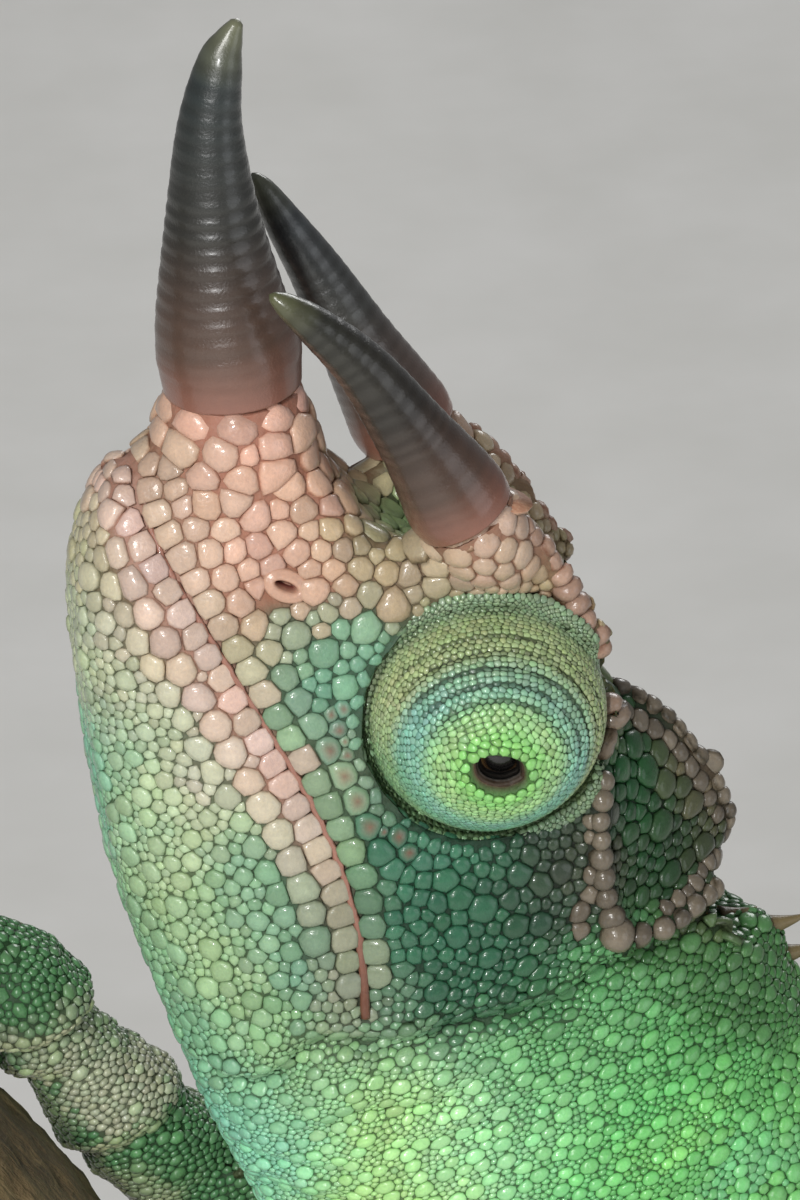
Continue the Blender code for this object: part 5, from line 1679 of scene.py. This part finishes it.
def makePerch():
    # a round bar roughened by bark, with knots that rise and sink in their middles; a sawn disc closes each end
    low, high = perchFrame["ends"]
    rows, sides, outer = bark["rows"], bark["sides"], perchFrame["radius"]
    u = np.linspace(low, high, rows)
    angle = compass(sides)
    uu, aa = np.meshgrid(u, angle, indexing="ij")
    flat = np.stack([uu, np.cos(aa) * outer, np.sin(aa) * outer], axis=-1).reshape(-1, 3)
    grain = mottle(flat * (0.25, 1, 1), 2.2, 71) * 0.5 + mottle(flat * (0.5, 1, 1), 0.9, 72) * 0.35
    broad = mottle(flat, 22.0, 73)
    radius = outer - 0.32 + 0.22 * np.cos(uu / 9.0) - 0.05
    radius = radius + (bark["ridges"] * grain + 0.1 * broad).reshape(rows, sides)
    crown = np.ones((rows, sides))
    for place, turn, rise, wide in bark["knots"]:
        away = np.hypot((uu - place) / wide, np.angle(np.exp(1j * (aa - turn))) * outer / wide)
        radius = radius + 0.35 * rise * bump(away, 0, 1) - 0.4 * rise * bump(away, 0, 0.35)
        crown = crown - 0.9 * bump(away, 0, 0.5)
    edge = np.minimum(u - low, high - u)
    radius = radius - 0.5 * np.exp(-edge / 0.35)[:, None]
    grid = perchPoint(uu, radius * np.sin(aa), radius * np.cos(aa))
    ends = perchPoint(np.array([low, high]), 0.0, 0.0)
    made = closedTube("perch_bark", grid, ends, crown=crown)
    settle(made, "bark", ["perch"])
    rho = np.linspace(0.02, 1, 26)
    out = np.append(rho, 1.0)[:, None] * bark["wood"]
    for word, place, way in (("top", low, -1), ("bottom", high, 1)):
        face, deep = place + way * 0.12, place - way * 0.6
        level = np.append(0 * rho + face, deep)[:, None]
        grid = perchPoint(level, out * np.sin(angle), out * np.cos(angle))
        ring = np.repeat(np.append(rho, 1.0)[:, None], sides, axis=1)
        cut = closedTube(f"perch_cut_{word}", grid, perchPoint(np.array([face, deep]), 0.0, 0.0), crown=ring)
        settle(cut, "sawn")


block = {"corner": 4.0, "profile": ((0.0, 0.3), (0.9, 0.0), (2.2, 0.0), (2.8, 0.5), (3.4, 0.55), (4.4, 0.1),
                                    (6.0, 0.0), (7.2, 0.4), (7.8, 1.1), (8.0, 2.0))}
collar = ((2.25, 0.35), (4.6, 0.35), (5.0, 0.55), (5.05, 1.0), (4.7, 1.45), (3.4, 1.8), (2.9, 2.4), (2.6, 3.1),
          (2.28, 3.3))


def makeBase():
    # the stand's block: a rounded rectangle in plan, carried up a moulded edge of height and inset
    low, high = (np.array(corner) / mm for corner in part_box("stand_base"))
    middle, half = (low + high) / 2, (high - low) / 2
    straight = half[:2] - block["corner"]
    turn = np.linspace(0, math.pi / 2, 16)
    outline = np.vstack([np.array(sign) * straight + block["corner"] * np.column_stack(
        [np.cos(turn + k * math.pi / 2), np.sin(turn + k * math.pi / 2)])
        for k, sign in enumerate(((1, 1), (-1, 1), (-1, -1), (1, -1)))])
    inward = unit(outline * (half[::-1][:2] / half[:2].max()))
    rows = [np.column_stack([middle[:2] + outline - inset * inward, np.full(len(outline), low[2] + z)])
            for z, inset in smoothThrough(block["profile"], 46)]
    edge = rows[-1]
    rows += [np.column_stack([middle[:2] + (edge[:, :2] - middle[:2]) * share, edge[:, 2]])
             for share in (0.8, 0.5, 0.2)]
    ends = np.array([[*middle[:2], low[2]], [*middle[:2], high[2]]])
    made = closedTube("stand_block", np.array(rows), ends)
    made.data.set_sharp_from_angle(angle=math.radians(40))
    settle(made, "wood", ["stand_base"])


def makeRods():
    # a steel finish on each rod, and a turned collar where it enters the block
    for number in (1, 2):
        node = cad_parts[f"stand_rod_{number}"]
        node.data.materials.clear()
        node.data.materials.append(finishes["steel"])
        low, high = (np.array(corner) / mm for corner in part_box(node.name))
        x, y = (low[0] + high[0]) / 2, (low[1] + high[1]) / 2
        rows, angle = smoothThrough(collar, 30), compass(48)
        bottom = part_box("stand_base")[1][2] / mm
        grid = np.stack([x + rows[:, :1] * np.cos(angle), y + rows[:, :1] * np.sin(angle),
                         bottom - 0.3 + rows[:, 1:] + 0 * angle], axis=-1)
        grid = np.concatenate([grid, grid[:1]])
        made = meshObject(f"rod_collar_{number}", grid.reshape(-1, 3), gridFaces(len(grid), 48))
        work = bmesh.new()
        work.from_mesh(made.data)
        bmesh.ops.remove_doubles(work, verts=work.verts[:], dist=1e-6)
        bmesh.ops.recalc_face_normals(work, faces=work.faces[:])
        work.to_mesh(made.data)
        work.free()
        settle(made, "steel")


makePerch()
makeBase()
makeRods()
print("branch and stand")


# floor, lights and camera

studio = {"key": 2.3, "fill": 0.5, "rim": 0.9, "glint": 1.3, "air": 0.2}
view = {"right": (0.9823, -0.1875, 0.0), "up": (0.0894, 0.4685, 0.8789), "shift": (-2.9, 2.75), "far": 560.0,
        "tall": 52.4}


def makeFloor():
    t = np.linspace(-1, 1, 25)
    x, y = np.meshgrid(t * 3200, t * 3200, indexing="ij")
    grid = np.stack([x, y, np.full_like(x, -0.05)], axis=-1)
    made = meshObject("floor", grid.reshape(-1, 3), gridFaces(25, 25, False))
    made.data.materials.append(finishes["floor"])


def addLight(name, place, aim, size, power, shade=(1, 1, 1)):
    lamp = bpy.data.lights.new(name, "AREA")
    lamp.shape = "DISK"
    lamp.size = size * mm
    lamp.energy = power
    lamp.color = shade
    where = Vector(place) * mm
    turn = (where - Vector(aim) * mm).to_track_quat("Z", "Y")
    placed(name, lamp).matrix_world = Matrix.Translation(where) @ turn.to_matrix().to_4x4()


def makeCamera():
    right, up = np.array(view["right"]), np.array(view["up"])
    back = np.cross(right, up)
    aim = headPoint(0.0, 0.0, 0.0) + right * view["shift"][0] + up * view["shift"][1]
    lens = bpy.data.cameras.new("camera")
    lens.sensor_width = 36.0
    lens.lens = 36.0 * view["far"] / view["tall"]
    lens.clip_start = 0.02
    lens.clip_end = 60.0
    camera = placed("camera", lens)
    turn = Matrix(np.stack([right, up, back], axis=1).tolist()).to_4x4()
    camera.matrix_world = Matrix.Translation(Vector((aim + back * view["far"]) * mm)) @ turn
    bpy.context.scene.camera = camera


makeFloor()
addLight("key", (-260, -420, 520), (0, 0, 140), 220, studio["key"], (1, 0.98, 0.95))
addLight("fill", (420, -380, 200), (0, 0, 120), 420, studio["fill"], (0.93, 0.96, 1))
addLight("rim", (240, 420, 380), (0, 0, 130), 260, studio["rim"])
addLight("glint", (-190, -520, 300), (0, 0, 150), 36, studio["glint"])
world = bpy.data.worlds.new("air")
world.use_nodes = True
air = world.node_tree.nodes["Background"].inputs
air["Color"].default_value = (0.93, 0.95, 1.0, 1)
air["Strength"].default_value = studio["air"]
bpy.context.scene.world = world
bpy.context.scene.view_settings.view_transform = "Standard"
makeCamera()
print("stage")
